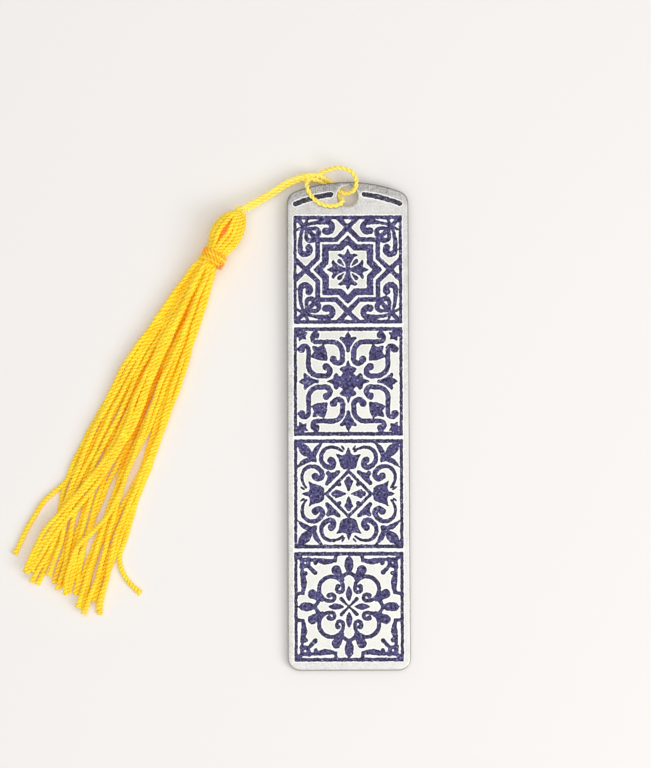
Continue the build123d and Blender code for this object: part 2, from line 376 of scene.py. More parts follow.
def both_sides(marks: Marks) -> Marks:
    """Marks and their mirror images across the Y axis."""
    return [*marks, *(mark.mirrored() for mark in marks)]


def on_corner(marks: Marks) -> Marks:
    """Marks drawn on the Y axis, turned onto the tile's diagonal."""
    return [mark.turned(-45) for mark in marks]


def star_marks() -> Marks:
    """Eight-pointed star with interlaced bands, a cross of lilies and hooked corner scrolls.

    Returns:
        One quarter of the ornament.
    """
    star = ((-4.1, 4.1), (-1.43, 4.1), (0, 5.53), (1.43, 4.1), (4.1, 4.1), (4.1, 1.43), (5.53, 0))
    lily = (
        (0, 4.0), (0.3, 3.35), (0.44, 2.84), (0.8, 2.8), (1.35, 3.0), (1.92, 2.7),
        (1.15, 2.2), (0.68, 1.5), (0.4, 0.8), (0.3, 0.3), (0, 0),
    )  # fmt: skip
    return [
        *band(1.22, *star),
        *band(0.88, (-1.8, 9.6), (2.15, 5.55), (5.55, 5.55), (5.55, 2.15), (9.6, -1.8)),
        *blossom(*lily),
        *spot((0, 0), 0.45),
        *on_corner(drop((0, 0.8), (0, 2.62), 0.82)),
        *both_sides(scroll((7.9, 8.2), 160, [(10.0, 25), (0.84, 205)], (0.46, 1.3), 0.6)),
        *on_corner(leaf((0, 10.9), (0, 7.9), 0.42, 0.42)),
        *both_sides(scroll((7.7, 7.65), 180, [(1.6, 0), (0.74, 125)], (0.46, 0.96), 0.5)),
        *on_corner(leaf((0, 10.8), (0, 13.6), 0.42, 0.42)),
        *both_sides(leaf((8.3, 8.0), (9.6, 7.2), 0.25, 0.25)),
    ]


def scroll_marks() -> Marks:
    """Quatrefoil of eight S-scrolls round a cross, a lily on each side and a tulip in each corner.

    Returns:
        One quarter of the ornament.
    """
    lily = (
        (0, 9.2), (0.5, 8.5), (0.5, 8.1), (1.35, 8.3), (1.6, 7.95), (1.2, 7.5), (0.72, 6.9),
        (0.46, 6.35), (0.3, 5.95), (0.36, 5.55), (0, 5.25),
    )  # fmt: skip
    tulip = (
        (0, 9.3), (0.45, 8.75), (0.55, 8.35), (1.58, 8.05), (1.42, 7.3), (1.02, 6.5), (0.46, 5.9),
        (0, 5.35),
    )  # fmt: skip
    arm = (
        (0, 4.1), (0.3, 3.3), (0.52, 2.75), (1.2, 2.65), (1.62, 2.25), (1.3, 1.85), (0.9, 1.6),
        (1.2, 1.2), (0, 0),
    )  # fmt: skip
    corner = ((0, 13.6), (0.9, 12.9), (0.7, 12.2), (1.2, 11.6), (0.4, 11.5), (0, 10.8))
    run = [(0.72, -180), (2.9, 0), (1.95, 88), (1.2, 0), (0.86, 172)]
    return [
        *blossom(*lily),
        *on_corner(blossom(*tulip)),
        *on_corner(blossom(*corner)),
        *both_sides(scroll((5.9, 8.75), 0, run, (0.78, 1.0), 0.68)),
        *both_sides(spot((5.95, 8.6), 0.68)),
        *blossom(*arm),
    ]


def tulip_marks() -> Marks:
    """Diamond with four petals, a tulip on each side and a pair of C-scrolls in each corner.

    Returns:
        One quarter of the ornament.
    """
    tulip = (
        (0, 8.65), (0.34, 7.85), (0.46, 7.32), (1.05, 7.08), (1.7, 7.22), (2.42, 7.38), (1.92, 6.6),
        (1.66, 5.7), (1.42, 4.95), (0.95, 4.55), (0, 4.42),
    )  # fmt: skip
    club = ((0, 3.25), (0.42, 3.0), (0.46, 2.62), (0.9, 2.35), (0.55, 1.6), (0.22, 0.7), (0, 0.35))
    sprig = (
        (0, 5.8), (0.36, 5.55), (0.44, 5.05), (0.95, 4.6), (1.5, 4.58), (1.92, 4.2), (1.68, 3.8),
        (1.0, 3.78), (0, 3.75),
    )  # fmt: skip
    run = [(3.0, -42), (1.9, -165), (0.7, -175)]
    return [
        *band(0.56, (-4.12, 0), (0, 4.12), (4.12, 0)),
        *blossom(*club),
        *on_corner(spot((0, 2.43), 0.4)),
        *blossom(*tulip),
        *on_corner(blossom(*sprig)),
        *both_sides(scroll((1.15, 7.8), 42, run, (0.44, 1.08), 0.66)),
        *both_sides(leaf((0.65, 7.95), (1.4, 8.95), 0.2, 0.2)),
        *on_corner(leaf((0, 9.5), (0, 13.2), 0.95, 0.95)),
        *both_sides(leaf((6.35, 5.9), (4.7, 9.45), -0.08, 1.05)),
        *on_corner(leaf((0, 8.2), (0, 10.2), 0.6, 0.6)),
    ]


def petal_marks() -> Marks:
    """Rosette of twelve petals round four scrolled rings, with leaf bands in the corners.

    Returns:
        One quarter of the ornament.
    """
    run = [(2.3, 92), (1.5, 38), (0.6, 0), (0.6, 235)]
    angles = np.linspace(0, 2 * math.pi, 19)
    knot = [(0.6 * math.sin(angle), 11.35 + 0.6 * math.cos(angle)) for angle in angles]
    return [
        *leaf((0, 0.85), (0, 3.85), 0.56, 0.56),
        *on_corner(stroke((0.28, 0.72), (0, 0.2), (0, 1.98))),
        *both_sides(scroll((4.83, 4.83), 135, run, (0.76, 0.62), 0.47)),
        *leaf((0, 5.9), (0, 9.35), 0.82, 0.82),
        *drop((0, 6.0), (0, 9.1), 1.55),
        *both_sides(drop((0.8, 4.7), (2.88, 7.42), 1.75)),
        *stroke((0.66, 0.66), (-1.5, 5.2), (-0.75, 5.85), (0, 6.2), (0.75, 5.85), (1.5, 5.2)),
        *both_sides(stroke((0.6, 1.15), (2.5, 8.5), (3.4, 8.28), (4.5, 8.25))),
        *both_sides(stroke((1.15, 0.55), (4.5, 8.25), (5.6, 8.48), (6.8, 8.6))),
        *both_sides(spot((6.12, 7.98), 0.42)),
        *both_sides(stroke((0.62, 0.55), (2.5, 8.4), (2.4, 9.6))),
        *on_corner(stroke((0.72, 0.72), *knot)),
        *on_corner(stroke((0.7, 0.8), (0, 12.0), (0, 13.2))),
        *on_corner(scroll((0, 10.8), -90, [(2.0, 0)], (0.62, 0.8), 0.45)),
        *both_sides(spot((7.35, 8.6), 0.52)),
    ]


def blurred(values: Array, sigma: float) -> Array:
    """Smooth a grid of numbers.

    Args:
        values: The grid.
        sigma: Spread of the smoothing, in grid steps.

    Returns:
        The smooth grid, in the same shape.
    """
    reach = math.ceil(3 * sigma)
    weights = np.exp(-0.5 * (np.arange(-reach, reach + 1) / sigma) ** 2)
    weights /= weights.sum()
    for axis, size in enumerate(values.shape):
        padding = [(reach, reach) if axis == side else (0, 0) for side in (0, 1)]
        padded = np.pad(values.astype(float), padding, mode="edge")
        values = sum(
            weight * np.take(padded, range(shift, shift + size), axis)
            for shift, weight in enumerate(weights)
        )
    return values


@dataclass
class Cells:
    """Small faces that fill an etched ornament.

    Attributes:
        points: Flat points, on the plate.
        faces: Corners of each face.
        rim: Ends of each edge on the ornament's outline.
        breadth: How broad the ornament is round each point, from 0 to 1.
    """

    points: Array
    faces: list[list[int]]
    rim: list[list[int]]
    breadth: Array


@dataclass(frozen=True)
class EdgeCut:
    """How an etched ornament's edge is cut.

    Attributes:
        level: Depth of the edge to cut at, from 0 outside to 1 inside.
        softness: Spread of the edge, in grid steps.
        coarse: Grid steps to one face.
        raggedness: Unevenness of the edge, as a share of its depth.
    """

    level: float
    softness: float
    coarse: int
    raggedness: float


LIP_CUT = EdgeCut(0.15, 3.8, 4, 0.0)
CELL_CUT = EdgeCut(0.38, 1.5, 2, 0.3)
FILL_CUT = EdgeCut(0.44, 1.5, 2, 0.3)


@dataclass
class EtchedField:
    """Soft-edged picture of an etched ornament, from which its outline is cut.

    Attributes:
        half_width: Half of its width, in units of the drawing.
        half_height: Half of its height.
        unit: Size of a unit of the drawing.
        seed: Seed of the unevenness of its edges.
        step: Size of its grid, in units.
        ragged_spread: Spread of the unevenness of its edges, in grid steps.
        breadth_spread: How far round a point its breadth is felt, in grid steps.
        margin: Least share of a grid step between a cut and a grid point.
        mask: Which grid points are drawn on.
    """

    half_width: float
    half_height: float
    unit: float
    seed: int
    step: float = 0.06
    ragged_spread: float = 2.0
    breadth_spread: float = 7.0
    margin: float = 0.08
    mask: Array = field(init=False)

    def __post_init__(self) -> None:
        """Lay out the grid."""
        self.x, self.y = (
            np.arange(-half, half + self.step / 2, self.step)
            for half in (self.half_width, self.half_height)
        )
        self.mask = np.zeros((len(self.y), len(self.x)), bool)

    def draw(self, marks: Iterable[Mark]) -> None:
        """Draw marks on the field.

        Args:
            marks: The marks, in units of the drawing.
        """
        for mark in marks:
            low, high = mark.reach()
            columns = slice(*np.searchsorted(self.x, (low[0], high[0])))
            rows = slice(*np.searchsorted(self.y, (low[1], high[1])))
            x, y = np.meshgrid(self.x[columns], self.y[rows])
            self.mask[rows, columns] |= mark.covers(x, y)

    def repeat_four(self) -> None:
        """Repeat what is drawn on all four sides of a square field."""
        drawn = self.mask
        self.mask = drawn | np.rot90(drawn) | np.rot90(drawn, 2) | np.rot90(drawn, 3)

    def frame(self, outer: float, level: float, upright: float) -> None:
        """Draw a square line round the field.

        Args:
            outer: Half of its outer size, in units.
            level: Width of its level lines, in units.
            upright: Width of its upright lines.
        """
        x, y = np.abs(self.x)[None, :], np.abs(self.y)[:, None]
        within = (x <= outer) & (y <= outer)
        self.mask |= within & ((y >= outer - level) | (x >= outer - upright))

    def cut(self, centre: Point, edge: EdgeCut) -> Cells:
        """Cut the ornament out of the field.

        Args:
            centre: Middle of the field on the plate.
            edge: How its edge is cut.

        Returns:
            The cells that fill it.
        """
        draws = np.random.default_rng(self.seed)
        ragged = blurred(draws.normal(size=self.mask.shape), self.ragged_spread)
        deep = blurred(self.mask, edge.softness)
        deep = deep + edge.raggedness * ragged / ragged.std() * 2 * deep * (1 - deep)
        thin_out = (slice(None, None, edge.coarse),) * 2
        deep, broad = deep[thin_out], blurred(self.mask, self.breadth_spread)[thin_out]
        grid = np.stack(np.meshgrid(self.x[:: edge.coarse], self.y[:: edge.coarse]), -1)

        inside = deep > edge.level
        count = int(inside.sum())
        node = np.full(inside.shape, -1)
        node[inside] = np.arange(count)
        places, breadth, crossings = [grid[inside]], [broad[inside]], []
        for axis in (1, 0):
            one = (slice(None),) * axis + (slice(None, -1),)
            two = (slice(None),) * axis + (slice(1, None),)
            cut = inside[one] != inside[two]
            share = (edge.level - deep[one][cut]) / (deep[two][cut] - deep[one][cut])
            share = np.clip(share, self.margin, 1 - self.margin)[:, None]
            places.append(grid[one][cut] + (grid[two][cut] - grid[one][cut]) * share)
            breadth.append(broad[one][cut])
            index = np.full(cut.shape, -1)
            index[cut] = count + np.arange(cut.sum())
            count += int(cut.sum())
            crossings.append(index)

        flat, upright = crossings
        rows, columns = inside.shape[0] - 1, inside.shape[1] - 1
        corners = ((0, 0), (0, 1), (1, 1), (1, 0))
        nodes = [node[row : row + rows, column : column + columns] for row, column in corners]
        between = [flat[:-1, :], upright[:, 1:], flat[1:, :], upright[:, :-1]]
        case = sum((corner >= 0).astype(int) << bit for bit, corner in enumerate(nodes))
        faces: list[list[int]] = []
        rim: list[list[int]] = []
        for number in range(1, 16):
            chosen = case == number
            ring: list[tuple[Array, bool]] = []
            for bit in range(4):
                here, there = number >> bit & 1, number >> (bit + 1) % 4 & 1
                ring += [(nodes[bit][chosen], False)] * here
                ring += [(between[bit][chosen], True)] * (here != there)
            faces += np.stack([corner for corner, _ in ring], 1).tolist()
            for (first, on_rim), (second, next_on_rim) in zip(ring, ring[1:] + ring[:1]):
                if on_rim and next_on_rim:
                    rim += np.stack([first, second], 1).tolist()
        points = np.vstack(places) * self.unit + np.array(centre)
        return Cells(points, faces, rim, np.concatenate(breadth))


# Finishes


class NodeBench:
    """Short names for laying out the nodes of a material, of the world or of a group."""

    def __init__(self, tree: bpy.types.NodeTree) -> None:
        """Start on an emptied tree."""
        self.tree = tree
        tree.nodes.clear()

    def add(self, kind: str, inputs: Optional[dict] = None, **settings: object) -> Node:
        """Add a node.

        Args:
            kind: Its type, without the leading ShaderNode.
            inputs: Values, colours or sockets by the name or number of its inputs.
            settings: Its properties.

        Returns:
            The node.
        """
        prefix = "" if kind.startswith("NodeGroup") else "ShaderNode"
        node = self.tree.nodes.new(prefix + kind)
        for name, value in settings.items():
            setattr(node, name, value)
        for name, value in (inputs or {}).items():
            socket = node.inputs[name]
            if isinstance(value, Socket):
                self.tree.links.new(value, socket)
            else:
                socket.default_value = (*value, 1.0) if socket.type == "RGBA" else value
        return node

    def sums(self, operation: str, *values: object) -> Socket:
        """Output of a Math node."""
        return self.add("Math", dict(enumerate(values)), operation=operation).outputs[0]

    def sway(self, base: object, value: object, amount: object) -> Socket:
        """A base value moved up and down by a noise."""
        return self.sums("MULTIPLY_ADD", self.sums("SUBTRACT", value, 0.5), amount, base)

    def clamp(self, value: object) -> Socket:
        """Value kept between 0 and 1."""
        return self.add("Clamp", {0: value}).outputs[0]

    def mix(self, share: object, first: object, second: object) -> Socket:
        """Colour between two colours."""
        return self.add("Mix", {0: share, 6: first, 7: second}, data_type="RGBA").outputs[2]

    def span(self, value: object, low: float, high: float, *to: float) -> Socket:
        """Value moved smoothly from one range to another, which is 0 to 1 if none is given."""
        inputs = dict(enumerate((value, low, high, *(to or (0.0, 1.0)))))
        return self.add("MapRange", inputs, interpolation_type="SMOOTHSTEP").outputs[0]

    def noise(self, vector: object, scale: object, detail: float = 2.0, rough: float = 0.5) -> Socket:
        """Value of a noise texture."""
        inputs = {"Vector": vector, "Scale": scale, "Detail": detail, "Roughness": rough}
        return self.add("TexNoise", inputs).outputs["Fac"]

    def bump(self, height: object, strength: float, distance: float) -> Socket:
        """Normal of a bumpy surface."""
        inputs = {"Height": height, "Strength": strength, "Distance": distance}
        return self.add("Bump", inputs).outputs[0]

    def effect(self, layout: Callable, inputs: dict) -> Sequence[Socket]:
        """Effect that several finishes share, as a node group made at its first use.

        Args:
            layout: What lays out its nodes and gives its outputs, which are numbers.
            inputs: Numbers or vector sockets by the names of its inputs.

        Returns:
            Its outputs.
        """
        tree = bpy.data.node_groups.get(layout.__name__)
        if tree is None:
            tree = bpy.data.node_groups.new(layout.__name__, "ShaderNodeTree")
            for name, value in inputs.items():
                kind = "NodeSocketFloat" if isinstance(value, float) else "NodeSocketVector"
                tree.interface.new_socket(name, in_out="INPUT", socket_type=kind)
            bench = NodeBench(tree)
            outputs = layout(bench, bench.add("NodeGroupInput").outputs)
            for name in outputs:
                tree.interface.new_socket(name, in_out="OUTPUT", socket_type="NodeSocketFloat")
            bench.add("NodeGroupOutput", outputs)
        return self.add("Group", inputs, node_tree=tree).outputs

    def place(self) -> Socket:
        """Place on the object."""
        return self.add("TexCoord").outputs["Object"]

    def split(self, vector: object) -> tuple[Socket, ...]:
        """The three parts of a vector."""
        return tuple(self.add("SeparateXYZ", {0: vector}).outputs)

    def stored(self, name: str) -> Socket:
        """Number stored on the points of the mesh."""
        return self.add("Attribute", attribute_name=name).outputs["Fac"]


def fine_grain(bench: NodeBench, given: Sequence[Socket]) -> dict[str, Socket]:
    """Fine grain: a mottle, pale specks and the height of both.

    Args:
        bench: A bench for the group's nodes.
        given: Its inputs.

    Returns:
        Its outputs by name.
    """
    vector, scale = given["Vector"], given["Scale"]
    coarse = bench.noise(vector, bench.sums("MULTIPLY", scale, 0.12))
    fine = bench.noise(vector, scale, 3.0, 0.65)
    mottle = bench.sums("MULTIPLY_ADD", coarse, 0.2, bench.sums("MULTIPLY", fine, 0.8))
    edge = bench.sums("SUBTRACT", 0.78, given["Speck share"])
    speck = bench.clamp(bench.sums("MULTIPLY", bench.sums("SUBTRACT", fine, edge), 9.0))
    return {"Mottle": mottle, "Speck": speck, "Height": bench.sums("MULTIPLY_ADD", speck, 0.4, fine)}


def silk_fibre(bench: NodeBench, given: Sequence[Socket]) -> dict[str, Socket]:
    """Silk fibres that run along a ply with their own slight twist.

    Args:
        bench: A bench for the group's nodes.
        given: Its inputs.

    Returns:
        Its outputs by name.
    """
    along, round_ply, _ = bench.split(given["UV"])
    turned = bench.sums("MULTIPLY_ADD", along, given["Twist"], round_ply)
    circle = bench.sums("MULTIPLY", turned, 2 * math.pi)
    stretched = bench.sums("MULTIPLY", along, 0.22)
    parts = bench.sums("SINE", circle), bench.sums("COSINE", circle), stretched
    lines = bench.add("CombineXYZ", dict(enumerate(parts))).outputs[0]
    fine = bench.noise(lines, 5.5, 3.0, 0.6)
    return {"Shade": bench.span(fine, 0.3, 0.72), "Height": fine}


@dataclass(frozen=True)
class Finish:
    """Finish of a surface."""

    name: str

    def surface(self, bench: NodeBench) -> dict:
        """Lay out the nodes on a bench, and say what goes into the shader's inputs."""
        raise NotImplementedError

    def material(self) -> Material:
        """Make the material.

        Returns:
            The material.
        """
        made = bpy.data.materials.new(self.name)
        made.use_nodes = True
        bench = NodeBench(made.node_tree)
        shader = bench.add("BsdfPrincipled", self.surface(bench))
        bench.add("OutputMaterial", {"Surface": shader.outputs[0]})
        return made


@dataclass(frozen=True)
class MetalFinish(Finish):
    """Satin pewter, brushed and slightly pitted, paler towards the square end by a painted highlight
    and darker on its left by painted shade.

    Attributes:
        dark: Its colour at the arched rim and in the pits.
        pale: Its colour elsewhere.
        roughness: Its mean roughness.
        metallic: How metallic it is.
        brushing: Strength of the brushed lines.
        mottle: Strength of the grain.
        arch_centre: Height of the middle of the arch in the frame.
        crown: Where the dark rim begins and is full, from the middle of the arch.
    """

    dark: Colour
    pale: Colour
    roughness: float
    metallic: float
    brushing: float
    mottle: float
    arch_centre: float = 17.0
    crown: Point = (24.6, 25.6)

    def surface(self, bench: NodeBench) -> dict:
        """Lay out the grain, the brushed lines, the dark rim of the arch, and the painted highlight and
        shade.

        Args:
            bench: A bench for the material's nodes.

        Returns:
            What goes into the shader's inputs, by their names.
        """
        place = bench.place()
        grain = bench.effect(fine_grain, {"Vector": place, "Scale": 4300.0, "Speck share": 0.12})
        stretch = {"Vector": place, "Scale": (4200.0, 420.0, 4200.0)}
        lines = bench.noise(bench.add("Mapping", stretch).outputs[0], 1.0, 3.0, 0.7)
        across, up, _ = bench.split(place)
        sides = (across, bench.sums("SUBTRACT", up, self.arch_centre * MM))
        far = bench.sums("ADD", *(bench.sums("MULTIPLY", side, side) for side in sides))
        crown = bench.span(bench.sums("SQRT", far), *(reach * MM for reach in self.crown))
        crown = bench.sums("MULTIPLY", crown, bench.span(up, 0.0365, 0.0455))
        # Painted highlight: paler towards the square end; painted shade: darker towards the left side,
        # away from the light.
        tone = bench.span(up, -0.02, 0.046, 0.03, 0.26)
        tone = bench.sums("MULTIPLY_ADD", across, -6.0, tone)
        tone = bench.sums("MULTIPLY_ADD", crown, 0.57, tone)
        tone = bench.sway(tone, bench.noise(place, 95.0), 0.12)
        brushed = bench.sums("MULTIPLY", bench.sums("ADD", crown, 0.25), self.brushing)
        tone = bench.sway(tone, lines, brushed)
        tone = bench.sway(tone, grain["Mottle"], self.mottle)
        relief = bench.sums("MULTIPLY_ADD", lines, 0.6, grain["Height"])
        smooth, rough = self.roughness - 0.08, self.roughness + 0.1
        return {
            "Base Color": bench.mix(bench.clamp(tone), self.pale, self.dark),
            "Metallic": self.metallic,
            "Roughness": bench.span(grain["Mottle"], 0.3, 0.7, smooth, rough),
            "Normal": bench.bump(relief, 0.5, 0.00004),
        }


@dataclass(frozen=True)
class EnamelFinish(Finish):
    """Dark blue enamel, granular, darker on thin lines and near its edges by painted shade from the
    cells' walls.

    Attributes:
        thin: Its colour on thin lines.
        broad: Its colour where it is broad.
        deep: Its colour in dark clots.
        grains: Its colour in pale grains.
    """

    thin: Colour
    broad: Colour
    deep: Colour
    grains: Colour

    def surface(self, bench: NodeBench) -> dict:
        """Lay out the clots, the pale grains and the painted shade of thin lines and edges.

        Args:
            bench: A bench for the material's nodes.

        Returns:
            What goes into the shader's inputs, by their names.
        """
        place = bench.place()
        grain = bench.effect(fine_grain, {"Vector": place, "Scale": 3600.0, "Speck share": 0.125})
        clots = bench.noise(place, 2600.0, 1.0)
        # Painted shade: where the enamel is thin or near the cells' walls it takes the darker thin
        # colour.
        breadth = bench.span(bench.stored("breadth"), 0.42, 0.85)
        share = bench.sway(breadth, bench.noise(place, 700.0), 1.1)
        colour = bench.mix(bench.clamp(share), self.thin, self.broad)
        colour = bench.mix(bench.span(clots, 0.54, 0.32), colour, self.deep)
        colour = bench.mix(bench.span(clots, 0.61, 0.77), colour, self.grains)
        return {
            "Base Color": bench.mix(grain["Speck"], colour, self.grains),
            "Roughness": bench.span(grain["Mottle"], 0.3, 0.7, 0.42, 0.75),
            "Specular IOR Level": 0.16,
            "Normal": bench.bump(grain["Height"], 0.6, 0.00006),
        }


@dataclass(frozen=True)
class SilkFinish(Finish):
    """Twisted silk thread with fine fibres, a soft sheen, and a painted emission that stands in for
    light coming through it.

    Attributes:
        light: Colour of its upper fibres.
        dark: Colour between the fibres.
        painted_glow: Colour of the painted light that it gives off, an emission standing in for light
            coming through the silk.
        covered: Length from its start over which other threads cover it.
        deep: Its colour where they do, painted shade.
    """

    light: Colour
    dark: Colour
    painted_glow: Colour
    covered: float = 0.0
    deep: Colour = (1.0, 0.42, 0.002)

    def surface(self, bench: NodeBench) -> dict:
        """Lay out the fibres, and the deep patches of painted shade on the upper side of what is
        covered.

        Args:
            bench: A bench for the material's nodes.

        Returns:
            What goes into the shader's inputs, by their names.
        """
        uv = bench.add("UVMap", uv_map="thread").outputs[0]
        fibre = bench.effect(silk_fibre, {"UV": uv, "Twist": 0.35})
        share = bench.sway(fibre["Shade"], bench.noise(bench.place(), 420.0), 0.9)
        colour = bench.mix(bench.clamp(share), self.dark, self.light)
        if self.covered:
            # Painted shade: deep patches on the upper side of a thread, where others lie over it.
            along = bench.split(uv)[0]
            line = bench.add("CombineXYZ", {0: along}).outputs[0]
            patch = bench.span(bench.noise(line, 0.12), 0.38, 0.55)
            patch = bench.sums("MULTIPLY", patch, bench.span(bench.stored("upper_side"), -0.3, 0.3))
            hidden = bench.span(along, self.covered - 8, self.covered + 4, 1.0, 0.0)
            colour = bench.mix(bench.sums("MULTIPLY", patch, hidden), colour, self.deep)
        return {
            "Base Color": colour,
            "Roughness": bench.span(fibre["Shade"], 0.0, 1.0, 0.5, 0.34),
            "Specular IOR Level": 0.5,
            "Subsurface Weight": 0.25,
            "Subsurface Radius": (1.0, 0.55, 0.12),
            "Subsurface Scale": 0.0006,
            # Painted light: this emission stands in for light coming through the silk and lifts its
            # shade.
            "Emission Color": self.painted_glow,
            "Emission Strength": 0.14,
            "Sheen Weight": 0.15,
            "Sheen Roughness": 0.4,
            "Normal": bench.bump(fibre["Height"], 0.5, 0.00006),
        }


@dataclass(frozen=True)
class PaperFinish(Finish):
    """Pale matt paper with a slight drift of tone."""

    light: Colour = (0.905, 0.875, 0.853)

    def surface(self, bench: NodeBench) -> dict:
        """Lay out the drift of tone.

        Args:
            bench: A bench for the material's nodes.

        Returns:
            What goes into the shader's inputs, by their names.
        """
        shade = tuple(value * 0.985 for value in self.light)
        colour = bench.mix(bench.noise(bench.place(), 7.0), self.light, shade)
        return {"Base Color": colour, "Roughness": 0.9, "Specular IOR Level": 0.1}


# Plate and enamel


class Metal(IntEnum):
    """Finishes of the plate, by their place in its list."""

    FACE = 0
    GROUND = 1
    # Whitish finish of the lips, a painted highlight
    LIP = 2
    # Dark finish of the sides, painted shade
    EDGE = 3


@dataclass
class Plate:
    """Arched metal plate with etched cells, and the enamel in them.

    It is modelled flat, with the square end on the X axis and the back at zero, and then laid on
    the cord that runs under its arched end.
    """

    length: float = 88.0
    width: float = 22.0
    thickness: float = 1.5
    arch: float = 27.0
    top_corner: float = 2.4
    bottom_corner: float = 2.2
    edge_bevel: float = 0.32
    edge_reach: float = 0.75
    hole: float = 3.9
    hole_bridge: float = 0.65
    hole_bevel: float = 0.25
    lift: float = 1.15
    tile: float = 19.56
    tile_gap: float = 0.65
    bottom_margin: float = 1.65
    frame_line: float = 0.68
    frame_upright: float = 0.54
    cell_depth: float = 0.2
    lip_depth: float = 0.035
    lip_play: float = 0.004
    cut_clearance: float = 0.03
    enamel_sink: float = 0.06
    enamel_relief: float = 0.012
    enamel_body: float = 0.9
    accent_inset: float = 2.14
    accent_width: float = 0.85
    accent_near: float = 2.98
    accent_far: float = 9.48
    square: float = 1.0

    @property
    def hole_height(self) -> float:
        """Height of the middle of the hole above the square end."""
        return self.length - self.hole_bridge - self.hole / 2

    def laid(self) -> Matrix:
        """Where the flat plate lies in the frame, for a mesh in metres.

        Returns:
            The change of place.
        """
        tilt = math.asin(self.lift / self.length)
        down = Matrix.Translation((0, -self.length / 2 * math.cos(tilt) * MM, 0))
        return down @ Matrix.Rotation(tilt, 4, "X")

    def tile_centres(self) -> list[Point]:
        """Middles of the tiles, from the lowest."""
        first = self.bottom_margin + self.tile / 2
        return [(0.0, first + row * (self.tile + self.tile_gap)) for row in range(4)]

    def outline(self) -> Array:
        """Outline of the plate, with its arch and its rounded corners.

        Returns:
            Its points, anticlockwise.
        """
        half = self.width / 2
        arch_centre = self.length - self.arch
        inner = half - self.top_corner
        foot = half - self.bottom_corner
        rise = math.sqrt((self.arch - self.top_corner) ** 2 - inner**2)
        turn_at = math.degrees(math.atan2(rise, inner))
        arcs = [
            ((foot, self.bottom_corner), self.bottom_corner, -90, 0, 12),
            ((inner, arch_centre + rise), self.top_corner, 0, turn_at, 12),
            ((0, arch_centre), self.arch, turn_at, 180 - turn_at, 56),
            ((-inner, arch_centre + rise), self.top_corner, 180 - turn_at, 180, 12),
            ((-foot, self.bottom_corner), self.bottom_corner, 180, 270, 12),
        ]
        points: list[Array] = []
        for centre, radius, start, end, steps in arcs:
            arc = np.array(centre) + radius * around(np.radians(np.linspace(start, end, steps + 1)))
            points += [p for p in arc if not points or np.hypot(*(p - points[-1])) > 1e-4]
        return np.array(points)

    def body(self) -> Piece:
        """Blank of the plate: its outline raised to its thickness, drilled, with all rims rounded.

        Returns:
            The blank, lying flat.
        """
        flat = self.outline()
        points = np.column_stack([flat, np.zeros(len(flat))])
        blank = mesh_piece("bookmark_plate", points, [range(len(flat))])
        raise_flat(blank, self.thickness)
        bpy.ops.mesh.primitive_cylinder_add(
            vertices=72,
            radius=self.hole / 2 * MM,
            depth=3 * self.thickness * MM,
            location=(0, self.hole_height * MM, 0),
        )
        self.cut_away(blank, bpy.context.object)
        for height in (0, self.thickness):
            self.round_rims(blank, height)
        self.divide(blank)
        return blank

    def divide(self, blank: Piece) -> None:
        """Divide the plate into small squares, so that no face has many cells in it.

        Args:
            blank: The plate, lying flat.
        """
        edit(blank)
        across = np.arange(-self.width / 2 + self.square, self.width / 2, self.square)
        up = np.arange(self.square, self.length, self.square)
        for places, way in ((across, (1, 0, 0)), (up, (0, 1, 0))):
            for place in places:
                at = tuple(value * place * MM for value in way)
                bpy.ops.mesh.select_all(action="SELECT")
                bpy.ops.mesh.bisect(plane_co=at, plane_no=way)
        close(blank)

    def round_rims(self, blank: Piece, height: float) -> None:
        """Round the rims of the plate and of its hole on one face.

        Args:
            blank: The plate, lying flat.
            height: Height of the face.
        """
        reach = self.hole / 2 + 0.05
        middle = Vector((0, self.hole_height * MM))
        for bevel, at_hole in ((self.edge_bevel, False), (self.hole_bevel, True)):
            edit(blank, "EDGE", "DESELECT")
            close(blank)
            for edge in blank.data.edges:
                ends = [blank.data.vertices[index].co for index in edge.vertices]
                level = all(abs(end.z - height * MM) < 1e-7 for end in ends)
                near = all((end.xy - middle).length < reach * MM for end in ends)
                edge.select = level and near == at_hole
            bpy.ops.object.mode_set(mode="EDIT")
            bpy.ops.mesh.bevel(offset=bevel * MM, segments=4, profile=0.5, affect="EDGES")
            close(blank)

    @staticmethod
    def cut_away(piece: Piece, cutter: Piece) -> None:
        """Cut one solid out of another, and remove the cutter."""
        modify(piece, "BOOLEAN", operation="DIFFERENCE", solver="MANIFOLD", object=cutter)
        bpy.data.objects.remove(cutter)

    def cutter(self, cells: Cells, depth: float) -> Piece:
        """Solid that cuts the cells of one ornament.

        Args:
            cells: The ornament's cells.
            depth: Depth of the cut.

        Returns:
            The solid, from the floor of the cut to just above the face.
        """
        used = sorted({index for pair in cells.rim for index in pair})
        index = {old: new for new, old in enumerate(used)}
        points = np.column_stack([cells.points[used], np.full(len(used), self.thickness - depth)])
        edges = [(index[a], index[b]) for a, b in cells.rim]
        solid = mesh_piece("cell_cutter", points, edges=edges)
        raise_flat(solid, depth + self.cut_clearance, fill=True)
        return solid

    def enamel(self, name: str, cells: Cells, seed: int) -> Piece:
        """Enamel of one ornament, slightly uneven, in its cells.

        Args:
            name: Name of the piece.
            cells: The ornament's cells.
            seed: Seed of its unevenness.

        Returns:
            The enamel, lying flat.
        """
        draws = np.random.default_rng(seed)
        level = self.thickness - self.enamel_sink
        heights = level + self.enamel_relief * draws.normal(size=len(cells.points))
        piece = mesh_piece(name, np.column_stack([cells.points, heights]), cells.faces)
        set_value(piece, "breadth", cells.breadth)
        depth = (self.cell_depth - self.enamel_sink) * self.enamel_body
        modify(piece, "SOLIDIFY", thickness=depth * MM, offset=-1)
        return piece

